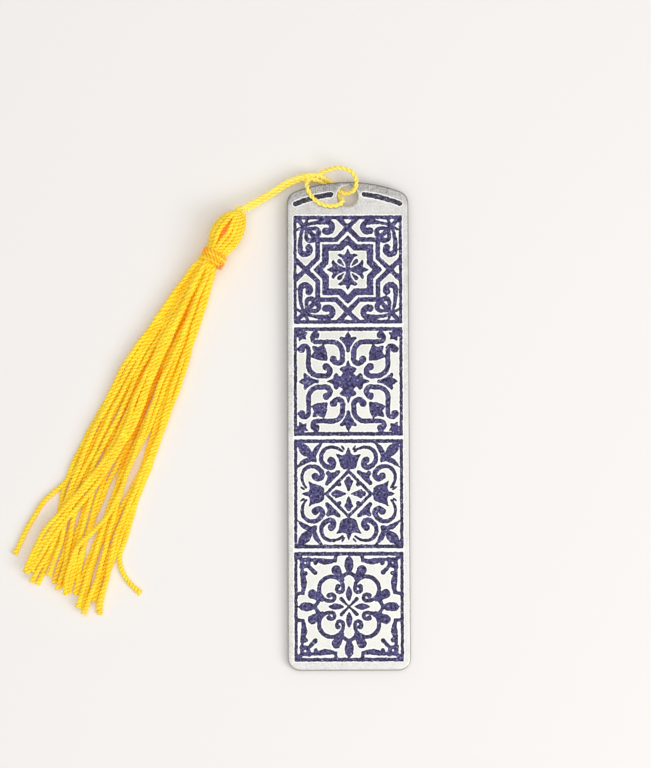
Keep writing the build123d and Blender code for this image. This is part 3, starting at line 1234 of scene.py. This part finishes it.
    def fields(self) -> dict[str, tuple[EtchedField, Point]]:
        """Etched pictures of the tiles and of the two lines beside the hole.

        Returns:
            Each picture and its place on the plate, by its node.
        """
        unit_size = self.tile / 20
        drawn = {}
        tiles = {"petal": petal_marks, "tulip": tulip_marks, "scroll": scroll_marks, "star": star_marks}
        for seed, ((name, marks), centre) in enumerate(zip(tiles.items(), self.tile_centres())):
            picture = EtchedField(10.5, 10.5, unit_size, seed)
            picture.draw(marks())
            picture.repeat_four()
            picture.frame(10.0, self.frame_line / unit_size, self.frame_upright / unit_size)
            drawn[name + "_enamel"] = (picture, centre)
        radius = self.arch - self.accent_inset
        ends = [math.asin(reach / radius) for reach in (self.accent_near, self.accent_far)]
        angles = np.linspace(*ends, 40)
        line = np.stack([np.sin(angles), np.cos(angles) - 1], 1) * radius
        for seed, (side, sign) in enumerate((("left", -1), ("right", 1))):
            picture = EtchedField(11.0, 3.5, 1.0, 10 + seed)
            picture.draw([Stroke(line * (sign, 1), self.accent_width, self.accent_width)])
            drawn["accent_enamel_" + side] = (picture, (0.0, self.length - self.accent_inset))
        return drawn

    def finish_of(self, face: bpy.types.MeshPolygon, centres: Sequence[float]) -> Metal:
        """Finish of one face of the plate.

        Args:
            face: The face, of the plate lying flat.
            centres: Heights of the middles of the tiles, from the lowest.

        Returns:
            The finish.
        """
        x, y, z = (value / MM for value in face.center)
        half, side, level = self.tile / 2, self.width / 2, abs(face.normal.z)
        on_tile = abs(x) < half and any(abs(y - centre) < half for centre in centres)
        rim = self.hole / 2 + self.hole_bevel + 0.02
        near_hole = math.hypot(x, y - self.hole_height) < rim
        inner = abs(x) < side - self.edge_bevel - 0.05
        inner = inner and centres[0] - half - 0.2 < y < self.length - self.accent_inset + 1
        # The cells' lips get the whitish finish of a painted highlight.
        if inner and not near_hole and abs(self.thickness - self.lip_depth - z) < self.lip_play:
            return Metal.LIP
        in_arch = self.arch - math.hypot(x, y - self.length + self.arch)
        # The plate's sides get the darker finish of painted shade.
        if min(side - abs(x), y, in_arch) < self.edge_reach and not near_hole and level < 0.6:
            return Metal.EDGE
        in_gap = abs(x) < half and centres[0] < y < centres[-1] and not on_tile
        # The hole's wall gets the same painted highlight, which lightens the hole; the gaps between
        # tiles get the same whitish finish.
        if near_hole and level < 0.98 or in_gap and z > self.thickness / 2:
            return Metal.LIP
        if on_tile and z > self.thickness - 0.001 and face.normal.z > 0.99:
            return Metal.GROUND
        return Metal.FACE

    def dress(self, plate: Piece) -> None:
        """Give the plate its finishes: its face, the ground of the tiles, the cells' lips with a
        painted highlight, its sides with painted shade.

        Args:
            plate: The plate, lying flat.
        """
        finishes = (
            ("pewter", (0.146, 0.142, 0.138), (0.47, 0.467, 0.46), 0.36, 1.0, 0.9, 1.9),
            ("pewter_ground", (0.36, 0.357, 0.33), (0.74, 0.737, 0.69), 0.5, 0.3, 0.1, 0.8),
            # The lip finish is pale as a painted highlight.
            ("pewter_lip_painted_highlight", (0.70, 0.70, 0.715), (0.86, 0.86, 0.865), 0.4, 0.2, 0.1, 0.4),
            # The side finish is dark as painted shade.
            ("pewter_side_painted_shade", (0.12, 0.118, 0.116), (0.34, 0.338, 0.335), 0.4, 1.0, 0.5, 1.0),
        )
        plate.data.materials.clear()
        for finish in finishes:
            plate.data.materials.append(MetalFinish(*finish).material())
        centres = [centre for _, centre in self.tile_centres()]
        for face in plate.data.polygons:
            face.material_index = self.finish_of(face, centres)

    def build(self) -> list[Piece]:
        """Make the plate and its enamel, and set them in the frame.

        Returns:
            The pieces.
        """
        plate = self.body()
        blue = (0.042, 0.038, 0.078), (0.094, 0.084, 0.225), (0.016, 0.014, 0.03), (0.38, 0.37, 0.54)
        dark = (0.04, 0.036, 0.052), (0.085, 0.078, 0.12), (0.014, 0.012, 0.018), (0.34, 0.33, 0.4)
        finishes = {
            "tile": EnamelFinish("blue_enamel", *blue).material(),
            "line": EnamelFinish("dark_enamel", *dark).material(),
        }
        pieces = {"plate": plate}
        for seed, (node, (picture, centre)) in enumerate(self.fields().items()):
            for cut, depth in ((LIP_CUT, self.lip_depth), (CELL_CUT, self.cell_depth)):
                self.cut_away(plate, self.cutter(picture.cut(centre, cut), depth))
            kind = "line" if node.startswith("accent") else "tile"
            name = node.replace("enamel", kind + "_enamel")
            pieces[node] = self.enamel(name, picture.cut(centre, FILL_CUT), seed)
            pieces[node].data.materials.append(finishes[kind])
        self.dress(plate)
        for node, piece in pieces.items():
            piece.data.transform(self.laid())
            piece.data.update()
            declare(piece, node, "plate")
        pick(plate)
        bpy.ops.object.shade_smooth_by_angle(angle=math.radians(32))
        return list(pieces.values())


# Threads


@dataclass(frozen=True)
class ThreadMesh:
    """Points, faces and texture places of a length of thread."""

    points: Array
    faces: Array
    places: Array


@dataclass(frozen=True)
class Thread:
    """Two-ply twisted thread.

    Attributes:
        diameter: Its outer diameter.
        pitch: Length of one full turn of its plies.
        sides: Sides of a ply.
        step: Length between the rings of a ply.
        fray: How far the plies open at a cut end.
        fray_run: Length over which they open.
        slack: How much longer a turn of the plies is at its start.
        slack_run: Length over which the turns tighten.
        press: How much thicker each ply is than half of the thread.
        bulge: Height of the cap on a ply's end, in its radii.
        lowest: Height under which no point of it goes.
    """

    diameter: float
    pitch: float
    sides: int = 7
    step: float = 0.2
    fray: float = 0.0
    fray_run: float = 1.2
    slack: float = 0.0
    slack_run: float = 14.0
    press: float = 1.04
    bulge: float = 0.5
    lowest: float = 0.005

    def along(self, path: Array, phase: float = 0.0) -> ThreadMesh:
        """Lay the thread along a path.

        Args:
            path: Points of its centreline.
            phase: Turn of the plies at its start.

        Returns:
            Its mesh. A triangle has its last corner twice.
        """
        line = resampled(path, self.step)
        count, sides, radius = len(line), self.sides, self.diameter / 4
        run = np.arange(count) * self.step
        left = (count - 1 - np.arange(count)) * self.step
        normal, binormal = frames(line)
        turns = np.cumsum(self.step / self.pitch / (1 + self.slack * np.exp(-run / self.slack_run)))
        opening = 1 + self.fray * np.clip(1 - left / self.fray_run, 0, 1) ** 2
        psi = 2 * np.pi * np.arange(sides) / sides
        points, faces, places = [], [], []
        for ply in (0, 1):
            theta = 2 * np.pi * turns + phase + np.pi * ply
            arm = np.cos(theta)[:, None] * normal + np.sin(theta)[:, None] * binormal
            middle = line + arm * (radius * opening)[:, None]
            course = unit(np.gradient(middle, axis=0))
            up = unit(arm - (arm * course).sum(1)[:, None] * course)
            aside = np.cross(course, up)
            ring = np.cos(psi)[:, None] * up[:, None] + np.sin(psi)[:, None] * aside[:, None]
            body = middle[:, None] + ring * (radius * self.press)
            cap = radius * self.bulge
            ends = [middle[0] - course[0] * cap, middle[-1] + course[-1] * cap]
            first = ply * (count * sides + 2)
            here = first + np.arange(count * sides).reshape(count, sides)
            beside = np.roll(here, -1, 1)
            quads = np.stack([here[:-1], beside[:-1], beside[1:], here[1:]], -1).reshape(-1, 4)
            tips = np.full((2, sides), first + count * sides) + [[0], [1]]
            start = np.stack([beside[0], here[0], tips[0], tips[0]], 1)
            end = np.stack([here[-1], beside[-1], tips[1], tips[1]], 1)
            turned = np.tile(psi / (2 * np.pi), (count, 1)) + ply * 0.37
            uv = np.stack([np.repeat(run[:, None], sides, 1), turned], -1).reshape(-1, 2)
            points += [body.reshape(-1, 3), ends]
            faces += [quads, start, end]
            places += [uv, [[0, 0], [run[-1], 0]]]
        all_points = np.vstack(points)
        all_points[:, 2] = np.maximum(all_points[:, 2], self.lowest)
        return ThreadMesh(all_points, np.vstack(faces), np.vstack(places))


def resampled(path: Array, step: float) -> Array:
    """Points at even steps along a path.

    Args:
        path: Points of the path.
        step: Length between the new points.

    Returns:
        The new points, to the last full step.
    """
    runs = np.linalg.norm(np.diff(path, axis=0), axis=1)
    far = np.concatenate([[0], np.cumsum(runs)])
    wanted = np.arange(0, far[-1], step)
    return np.stack([np.interp(wanted, far, path[:, axis]) for axis in range(3)], 1)


def level_side(line: Array) -> Array:
    """Level directions across a line, to its left."""
    ahead = np.gradient(line, axis=0)
    return unit(np.stack([-ahead[:, 1], ahead[:, 0], np.zeros(len(line))], 1))


def frames(line: Array) -> tuple[Array, Array]:
    """Directions across a line that turn as little as they can.

    Args:
        line: Points of the line.

    Returns:
        Its normals and binormals.
    """
    tangent = unit(np.gradient(line, axis=0))
    normal = np.zeros_like(line)
    side = np.cross(tangent[0], (0, 0, 1))
    normal[0] = side / np.linalg.norm(side)
    for index in range(1, len(line)):
        turned = normal[index - 1] - tangent[index] * (normal[index - 1] @ tangent[index])
        normal[index] = turned / np.linalg.norm(turned)
    return normal, np.cross(tangent, normal)


def spline_through(points: Sequence[Place]) -> Array:
    """Smooth line that a cord follows, read from a spline with these control points.

    Args:
        points: The control points.

    Returns:
        Points of the line.
    """
    curve = bpy.data.curves.new("route", "CURVE")
    curve.dimensions = "3D"
    curve.resolution_u = 16
    spline = curve.splines.new("NURBS")
    spline.points.add(len(points) - 1)
    for control, point in zip(spline.points, points):
        control.co = (*(value * MM for value in point), 1.0)
    spline.order_u = 3
    spline.use_endpoint_u = True
    route = bpy.data.objects.new("route", curve)
    bpy.context.scene.collection.objects.link(route)
    bpy.context.view_layer.update()
    evaluated = route.evaluated_get(bpy.context.evaluated_depsgraph_get())
    mesh = bpy.data.meshes.new_from_object(evaluated)
    line = np.array([vertex.co for vertex in mesh.vertices]) / MM
    bpy.data.meshes.remove(mesh)
    bpy.data.objects.remove(route)
    bpy.data.curves.remove(curve)
    return line


def blurred_line(values: Array) -> Array:
    """Smooth a line of numbers over a few neighbours."""
    padded = np.pad(values, 2, mode="edge")
    return np.convolve(padded, np.array([1, 4, 6, 4, 1]) / 16, mode="valid")


def small_knot(count: int, size: Place, centre: Array) -> Array:
    """Path of a small overhand knot.

    Args:
        count: Number of its points.
        size: Its size on each axis.
        centre: Its middle.

    Returns:
        Its points.
    """
    t = np.linspace(0, 2 * np.pi, count)
    x, y = np.sin(t) + 2 * np.sin(2 * t), np.cos(t) - 2 * np.cos(2 * t)
    return np.stack([x, y, -np.sin(3 * t)], 1) * size + centre


def thread_piece(name: str, parts: Sequence[ThreadMesh], finish: Material) -> Piece:
    """Piece of one or more lengths of thread.

    Args:
        name: Name of the piece.
        parts: The lengths of thread.
        finish: Its material.

    Returns:
        The piece.
    """
    offsets = np.cumsum([0] + [len(part.points) for part in parts])
    corners = np.vstack([part.faces + offset for part, offset in zip(parts, offsets)]).tolist()
    faces = [face if face[2] != face[3] else face[:3] for face in corners]
    piece = mesh_piece(name, np.vstack([part.points for part in parts]), faces)
    places = np.vstack([part.places for part in parts])
    loops = np.zeros(len(piece.data.loops), np.int64)
    piece.data.loops.foreach_get("vertex_index", loops)
    layer = piece.data.uv_layers.new(name="thread")
    layer.data.foreach_set("uv", places[loops].astype(np.float32).ravel())
    normals = np.zeros(3 * len(piece.data.vertices), np.float32)
    piece.data.vertex_normals.foreach_get("vector", normals)
    set_value(piece, "upper_side", normals[2::3])
    piece.data.materials.append(finish)
    pick(piece)
    bpy.ops.object.shade_smooth()
    return piece


def join(piece: Piece, other: Piece) -> None:
    """Join a second object to the first."""
    pick(piece, other)
    bpy.ops.object.join()


# Middle of the knot between the loop and the tassel
KNOT: Place = (-19.2, 38.7965, 2.85)


@dataclass
class HangingLoop:
    """Cord bent double: two twisted legs from the knot, hitched through the hole of the plate."""

    silk: Material
    hole_centre: Point = (0.0, 41.3965)
    cord: Thread = Thread(0.90, 2.0, sides=8, step=0.16)
    knot_cord: Thread = Thread(0.85, 1.7)
    knot_size: Place = (0.26, 0.26, 0.42)
    leg_gap: float = 0.46
    under: float = 0.5
    over: float = 3.225

    def leg_route(self) -> list[Place]:
        """Middle of the two legs, from the knot to under the plate.

        Returns:
            Its points, from the hole's middle and from the surface.
        """
        return [
            (-18.25, -2.1, 2.75), (-14.8, -0.2, 1.9), (-10.9, 2.6, 1.6), (-7.5, 3.65, 2.1),
            (-5.8, 3.55, 1.75), (-4.4, 3.1, 0.75), (-2.9, 2.05, self.under),
        ]  # fmt: skip

    def bight_route(self) -> list[Place]:
        """The bight, from under the plate up through the hole, round the legs and back.

        Returns:
            Its points, from the hole's middle and from the surface.
        """
        over = self.over
        return [
            (-0.9, 0.8, 0.6), (0.1, 0.7, 1.5), (1.05, 0.85, 2.7), (1.65, 1.8, over),
            (1.6, 3.2, over), (0.6, 4.6, over), (-1.4, 5.25, 2.95), (-3.8, 4.9, 1.7),
            (-5.6, 4.05, 0.75), (-6.7, 3.3, 0.8), (-7.3, 2.7, 2.0), (-7.35, 1.8, over),
            (-6.95, 0.5, over), (-5.9, -0.9, over), (-4.3, -1.75, over), (-2.6, -1.95, over),
            (-1.3, -1.6, over), (-0.75, -0.95, 2.7), (-0.95, -0.5, 1.7), (-1.35, -0.1, 0.85),
            (-1.95, 0.5, self.under),
        ]  # fmt: skip

    def route(self) -> Array:
        """Centreline of the whole cord, with its two legs side by side.

        Returns:
            Its points.
        """
        middle = np.array(self.leg_route())
        lean = np.radians([50, 56, 58, 58, 35, 0, 0])[:, None]
        aside = np.cos(lean) * level_side(middle) + np.sin(lean) * np.array([0.0, 0.0, 1.0])
        offset = self.leg_gap * aside
        points = np.vstack([middle + offset, self.bight_route(), (middle - offset)[::-1]])
        points[:, :2] += self.hole_centre
        return spline_through(points.tolist())

    def build(self) -> list[Piece]:
        """Make the loop and its knot.

        Returns:
            The pieces.
        """
        path = self.route()
        loop = thread_piece("hanging_loop", [self.cord.along(path)], self.silk)
        declare(loop, "loop_cord", "loop")
        turns = self.knot_cord.along(small_knot(90, self.knot_size, np.array(KNOT)))
        knot = thread_piece("loop_knot_turns", [turns], self.silk)
        return [loop, declare(knot, "loop_knot", "knot")]


GOLDEN_ANGLE = 2.399963

# Rows below the neck: the left and right edge of the skirt, from the knot, and the height of a layer
SKIRT_ROWS: tuple[tuple[Point, Point, float], ...] = (
    ((-9.85, -11.5), (-5.7, -13.4), 1.25),
    ((-13.4, -16.5), (-7.3, -19.2), 1.1),
    ((-18.2, -23.0), (-9.7, -26.6), 0.98),
    ((-22.7, -30.3), (-12.4, -34.7), 0.92),
    ((-26.9, -37.9), (-14.9, -42.4), 0.9),
    ((-30.8, -44.9), (-18.0, -50.0), 0.88),
    ((-33.6, -52.8), (-21.0, -58.1), 0.86),
    ((-36.4, -59.1), (-22.9, -64.9), 0.84),
    ((-39.3, -65.4), (-24.9, -71.8), 0.82),
)

# Each strand from the left: its layer, where it lies across the skirt at eight rows, in hundredths,
# and its trim
STRANDS: tuple[tuple[int, tuple[int, ...], float], ...] = (
    (1, (2, 2, 2, 2, 0, 0, 0, 0), 0.0),
    (0, (5, 5, 5, 4, 5, 4, 15, 11), 0.5),
    (2, (40, 40, 42, 46, 38, 16, 0, 0), 0.3),
    (1, (10, 10, 10, 10, 11, 10, 20, 15), -0.8),
    (2, (45, 46, 48, 52, 45, 22, 3, 3), 0.0),
    (0, (15, 15, 14, 13, 14, 13, 25, 20), -1.0),
    (2, (50, 51, 54, 58, 51, 28, 7, 7), 1.2),
    (1, (20, 20, 19, 18, 19, 19, 30, 28), 1.5),
    (0, (25, 24, 23, 23, 24, 25, 34, 36), 0.6),
    (1, (30, 29, 28, 28, 30, 31, 38, 42), -0.5),
    (0, (35, 34, 33, 34, 36, 37, 42, 47), 0.2),
    (1, (40, 39, 38, 40, 42, 43, 47, 52), 0.9),
    (2, (74, 73, 72, 72, 73, 73, 40, 54), -0.3),
    (0, (45, 44, 44, 46, 50, 49, 52, 57), 0.0),
    (0, (52, 52, 53, 55, 58, 55, 57, 62), 0.6),
    (0, (60, 60, 61, 63, 65, 68, 64, 67), 0.4),
    (1, (68, 67, 68, 69, 70, 72, 68, 70), -1.6),
    (0, (72, 72, 73, 73, 71, 76, 74, 76), -2.0),
    (1, (78, 78, 78, 78, 75, 79, 80, 81), -2.2),
    (0, (83, 83, 83, 85, 89, 83, 82, 84), 0.4),
    (0, (87, 88, 89, 90, 92, 88, 87, 88), 0.6),
    (1, (91, 91, 91, 93, 94, 92, 91, 92), -0.6),
    (0, (95, 95, 96, 96, 97, 95, 95, 97), -1.3),
    (1, (99, 99, 99, 99, 99, 100, 100, 100), 0.0),
)

# Where the first and the last strand leave the skirt, from the knot
STRAY_ENDS: dict[int, tuple[Point, ...]] = {
    0: ((-28.6, -43.0), (-31.2, -48.3), (-35.0, -51.6), (-38.4, -56.8), (-40.8, -62.1)),
    23: ((-18.2, -50.5), (-20.6, -57.5), (-22.6, -62.8), (-21.2, -66.6), (-18.4, -69.2)),
}


@dataclass
class Tassel:
    """Head of folded threads, the binding of its neck, and the skirt of strands."""

    silk: Material
    shaded_silk: Material
    inner_silk: Material
    tie_silk: Material
    heading: float = -121.7
    head_thread: Thread = Thread(0.98, 1.5)
    head_count: int = 15
    head_reach: Point = (0.45, 10.6)
    head_sink: float = 0.48
    slit: float = 102.0
    slit_middle: float = 5.4
    slit_length: float = 1.9
    slit_width: float = 0.19
    slit_spread: float = 0.7
    core_reach: Point = (0.7, 11.2)
    core_sink: float = 0.72
    binding_thread: Thread = Thread(0.76, 1.5)
    binding_turns: float = 4.3
    binding_start: float = 8.8
    binding_length: float = 2.5
    binding_radius: float = 1.5
    binding_swell: float = 0.5
    tie_thread: Thread = Thread(0.5, 1.0)
    tie_size: Place = (0.2, 0.2, 0.25)
    tie_place: Place = (10.6, 2.5, math.radians(28))
    strand: Thread = Thread(1.0, 1.5, step=0.18, fray=0.5, slack=0.6)
    strand_start: float = 9.6
    strand_spread: float = 1.45
    stagger: float = 0.45
    zigzag: float = 0.35
    covered_strands: tuple[int, ...] = (10, 13, 15)
    bundle: float = 3.7
    bundle_offset: float = -0.15
    neck: float = 12.0
    neck_offset: float = 0.2
    layer_height: float = 1.15

    def __post_init__(self) -> None:
        """Work out the directions of the head."""
        angle = math.radians(self.heading)
        self.ahead = np.array([math.cos(angle), math.sin(angle), 0])
        self.across = np.array([-math.sin(angle), math.cos(angle), 0])
        self.up = np.array([0.0, 0.0, 1.0])

    def on_head(self, far: Array, radius: Array, angle: Array) -> Array:
        """Places round the axis of the head.

        Args:
            far: Distances from the knot along the axis.
            radius: Distances from the axis.
            angle: Angles round it, from across it to the right and then up, in radians.

        Returns:
            The places.
        """
        far, radius, angle = (np.atleast_1d(value)[:, None] for value in (far, radius, angle))
        side = np.cos(angle) * self.across + np.sin(angle) * self.up
        return np.array(KNOT) + far * self.ahead + radius * side

    @staticmethod
    def bulb(far: Array, angle: Array) -> Array:
        """Outer radius of the head, which has a fuller shoulder on its right.

        Args:
            far: Distances from the knot.
            angle: Angles round the axis, in radians.

        Returns:
            The radii.
        """
        left = np.interp(
            far,
            (0.3, 0.7, 1.6, 2.6, 3.8, 5.0, 6.2, 7.2, 8.2, 9.2, 11.6),
            (0.65, 1.1, 2.0, 2.6, 2.98, 3.08, 2.92, 2.5, 2.0, 1.95, 2.05),
        )
        right = np.interp(
            far,
            (0.3, 0.7, 1.0, 2.0, 3.4, 4.6, 5.6, 6.8, 7.9, 9.2, 11.6),
            (0.8, 1.35, 1.7, 2.25, 2.72, 2.88, 2.9, 2.68, 2.25, 2.1, 2.15),
        )
        share = (1 + np.cos(angle)) / 2
        return left * (1 - share) + right * share

    def head(self) -> Piece:
        """Bulb of folded threads, with a slit where they part.

        Returns:
            The piece.
        """
        far = np.linspace(*self.head_reach, 40)
        slit = math.radians(self.slit)
        lens = np.exp(-(((far - self.slit_middle) / self.slit_length) ** 2))
        parts = []
        for index in range(self.head_count):
            angle = slit + 2 * np.pi * (index + 0.5) / self.head_count
            gap = (angle - slit + np.pi) % (2 * np.pi) - np.pi
            shift = self.slit_width * np.sign(gap) * np.exp(-abs(gap) / self.slit_spread)
            turned = angle + shift * lens + 0.05 * np.sin(far * 0.9 + index)
            radius = blurred_line(self.bulb(far, turned)) - self.head_sink
            path = self.on_head(far, radius, turned)
            parts.append(self.head_thread.along(path, phase=0.6 * index))
        piece = thread_piece("tassel_head_threads", parts, self.silk)
        join(piece, self.core())
        return piece

    def core(self) -> Piece:
        """Inner threads of the head, as one closed bulb under those that show, in a deep orange that is
        painted shade.

        Returns:
            The core.
        """
        bpy.ops.mesh.primitive_uv_sphere_add(segments=40, ring_count=28, radius=1)
        core = bpy.context.object
        core.data.uv_layers[0].name = "thread"
        # Its deep orange finish is painted shade inside the head.
        core.data.materials.append(self.inner_silk)
        start, end = self.core_reach
        for vertex in core.data.vertices:
            x, y, z = vertex.co
            far = start + (end - start) * (1 - z) / 2
            angle = math.atan2(y, x)
            ridge = 1 + 0.05 * math.cos(self.head_count * angle)
            radius = max(0.02, float(self.bulb(far, angle)) - self.core_sink)
            radius = radius * min(1, math.hypot(x, y) * 2.2) * ridge
            vertex.co = Vector(self.on_head(far, radius, angle)[0] * MM)
        edit(core)
        bpy.ops.mesh.normals_make_consistent(inside=False)
        close(core)
        bpy.ops.object.shade_smooth()
        return core

    def binding(self) -> Piece:
        """Turns of thread round the neck, with their small knot.

        Returns:
            The piece.
        """
        angle = np.linspace(0, 2 * np.pi * self.binding_turns, 150)
        share = np.linspace(0, 1, len(angle))
        waver = 0.25 * np.sin(angle + 0.4) * (0.4 + share)
        far = self.binding_start + self.binding_length * share + waver
        ends = np.clip(np.minimum(share, 1 - share) / 0.05, 0, 1)
        radius = self.binding_radius + (self.binding_swell + 0.08 * np.sin(angle * 1.3)) * ends
        wound = self.on_head(far, radius, angle + math.radians(200)) + self.neck_offset * self.across
        turns = self.binding_thread.along(wound)
        piece = thread_piece("neck_binding_turns", [turns], self.shaded_silk)
        middle = self.on_head(*self.tie_place)[0]
        tie = self.tie_thread.along(small_knot(70, self.tie_size, middle))
        join(piece, thread_piece("neck_tie_knot", [tie], self.tie_silk))
        return piece

    def strand_route(self, index: int) -> list[Place]:
        """Route of one strand, from inside the binding to its cut end.

        Args:
            index: Number of the strand, from the left edge of the skirt.

        Returns:
            Its points.
        """
        layer, hundredths, trim = STRANDS[index]
        shares = [share / 100 for share in hundredths]
        knot = np.array(KNOT)
        reach = self.strand_spread * math.sqrt((index * 7 % len(STRANDS) + 0.5) / len(STRANDS))
        side = (shares[0] - 0.5) * self.bundle + self.bundle_offset
        sign = (-1) ** (index // 2)
        lift = (layer - 1) * self.layer_height + self.stagger * sign
        points = [
            self.on_head(self.strand_start, reach, GOLDEN_ANGLE * index)[0],
            knot + self.ahead * self.neck + self.across * side + self.up * lift * 0.9,
        ]
        radius = self.strand.diameter / 2
        for row, ((left, right, height), share) in enumerate(zip(SKIRT_ROWS, (shares[0], *shares))):
            flat = np.array(left) * (1 - share) + np.array(right) * share + knot[:2]
            zigzag = self.zigzag * max(0, 1 - row / 3) * sign
            points.append(np.array([*flat, radius + max(0, layer * height + zigzag)]))
        points[-1] = points[-1] - unit((points[-1] - points[-2])[None])[0] * trim
        if index in STRAY_ENDS:
            away = np.array(STRAY_ENDS[index]) + knot[:2]
            points = points[:6] + [(x, y, radius) for x, y in away]
        return [tuple(point) for point in points]

    def wavered(self, path: Array, index: int) -> Array:
        """A strand's line with the slight waver of twisted thread.

        Args:
            path: Its points.
            index: Number of the strand.

        Returns:
            The points moved sideways.
        """
        step = 0.5
        line = resampled(path, step)
        run = np.arange(len(line)) * step
        wave = 0.10 * np.sin(run / 2.3 + 2.1 * index) + 0.05 * np.sin(run / 0.9 + 4.3 * index)
        wave += 0.28 * np.sin(run / 5.6 + 3.7 * index) * np.clip((run - 14) / 24, 0.15, 1)
        return line + level_side(line) * (wave * np.clip(run / 12, 0, 1))[:, None]

    def build(self) -> list[Piece]:
        """Make the tassel, with each strand of its skirt a piece of its own.

        Returns:
            The pieces.
        """
        nodes = {"tassel_head": self.head(), "neck_binding": self.binding()}
        pieces = [declare(piece, node, "tassel") for node, piece in nodes.items()]
        for index in range(len(STRANDS)):
            path = self.wavered(spline_through(self.strand_route(index)), index)
            pitch = self.strand.pitch * (1 + 0.16 * math.sin(5.1 * index))
            turns = replace(self.strand, pitch=pitch).along(path, phase=1.7 * index)
            silk = self.shaded_silk if index in self.covered_strands else self.silk
            node = f"strand_{index + 1:02d}"
            piece = thread_piece("skirt_" + node, [turns], silk)
            declare(piece, node, "tassel")
            pieces.append(piece)
        return pieces


# Studio


@dataclass(frozen=True)
class Studio:
    """Pale table, soft light from the right, and the camera above."""

    target: Place = (-4.09, 7.45, 1.0)
    distance: float = 450.0
    elevation: float = 86.14
    roll: float = -0.196
    focal_pixels: float = 2493.7
    long_side_pixels: float = 768.0
    sky: float = 0.47
    side_watts: float = 2.2
    top_watts: float = 5.5

    def camera(self) -> None:
        """Set up the camera at the photograph's angle."""
        angle = math.radians(self.elevation)
        forward = Vector((0, math.cos(angle), -math.sin(angle)))
        level = Vector((1, 0, 0))
        tilt = math.radians(self.roll)
        right = math.cos(tilt) * level + math.sin(tilt) * level.cross(forward)
        data = bpy.data.cameras.new("camera")
        data.sensor_width = 36.0
        data.lens = self.focal_pixels / self.long_side_pixels * data.sensor_width
        data.clip_start = 0.01
        camera = bpy.data.objects.new("camera", data)
        turned = Matrix((right, right.cross(forward), -forward)).transposed().to_4x4()
        place = Vector(self.target) * MM - forward * self.distance * MM
        camera.matrix_world = Matrix.Translation(place) @ turned
        bpy.context.scene.collection.objects.link(camera)
        bpy.context.scene.camera = camera

    def table(self) -> None:
        """Lay the pale table top under the bookmark."""
        bpy.ops.mesh.primitive_plane_add(size=6.0, location=(0, 0, 0))
        top = bpy.context.object
        top.name = "table_top"
        top.data.materials.append(PaperFinish("paper").material())

    def light(self) -> None:
        """Set up the soft lamps and the sky."""
        lamps = (
            ("side_lamp", 0.40, self.side_watts, (0.52, -0.30, 0.50)),
            ("top_lamp", 1.25, self.top_watts, (0.08, -0.05, 1.0)),
        )
        for name, size, watts, place in lamps:
            lamp = bpy.data.lights.new(name, "AREA")
            lamp.shape = "SQUARE"
            lamp.size = size
            lamp.energy = watts
            lamp.color = (1.0, 0.99, 0.975)
            holder = bpy.data.objects.new(name, lamp)
            holder.location = place
            holder.rotation_euler = (-holder.location).to_track_quat("-Z", "Y").to_euler()
            bpy.context.scene.collection.objects.link(holder)
        world = bpy.data.worlds.new("sky")
        bpy.context.scene.world = world
        world.use_nodes = True
        bench = NodeBench(world.node_tree)
        ray = bench.add("LightPath").outputs
        seen = bench.sums("MAXIMUM", ray["Is Camera Ray"], ray["Is Glossy Ray"])
        seen = bench.sums("MAXIMUM", seen, ray["Is Transmission Ray"])
        dim = bench.add("Background", {"Color": (0.97, 0.985, 1.0), "Strength": self.sky})
        plain = bench.add("Background", {"Color": (0.93, 0.90, 0.87), "Strength": 1.0})
        both = bench.add("MixShader", {0: seen, 1: dim.outputs[0], 2: plain.outputs[0]})
        bench.add("OutputWorld", {"Surface": both.outputs[0]})

    def build(self) -> None:
        """Set up everything that is not part of the bookmark."""
        self.camera()
        self.table()
        self.light()
        bpy.context.scene.view_settings.view_transform = "Standard"


def main() -> None:
    """Build the bookmark in its frame."""
    logging.basicConfig(level=logging.INFO, format="%(name)s: %(message)s")
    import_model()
    Studio().build()
    # Each silk has a light colour, a dark colour and the colour of its painted emission.
    golden = ((1.0, 0.93, 0.055), (0.98, 0.61, 0.008), (1.0, 0.44, 0.0))
    finishes = (
        SilkFinish("pale_silk", (1.0, 0.95, 0.27), (0.99, 0.75, 0.06), (1.0, 0.55, 0.03)),
        SilkFinish("golden_silk", *golden),
        SilkFinish("shaded_silk", *golden, covered=46),
        # The core's deep orange is painted shade in the slit of the head.
        SilkFinish("deep_orange_silk_painted_shade", (1.0, 0.30, 0.002), (0.78, 0.18, 0.0), (1.0, 0.2, 0.0)),
        SilkFinish("orange_silk", (1.0, 0.56, 0.14), (0.97, 0.36, 0.05), (1.0, 0.25, 0.0)),
    )
    loop_silk, *tassel_silks = [finish.material() for finish in finishes]
    pieces = HangingLoop(loop_silk).build() + Tassel(*tassel_silks).build() + Plate().build()
    for piece in pieces:
        LOG.info("%s: %d faces", piece.name, len(piece.data.polygons))


if __name__ == "__main__":
    main()
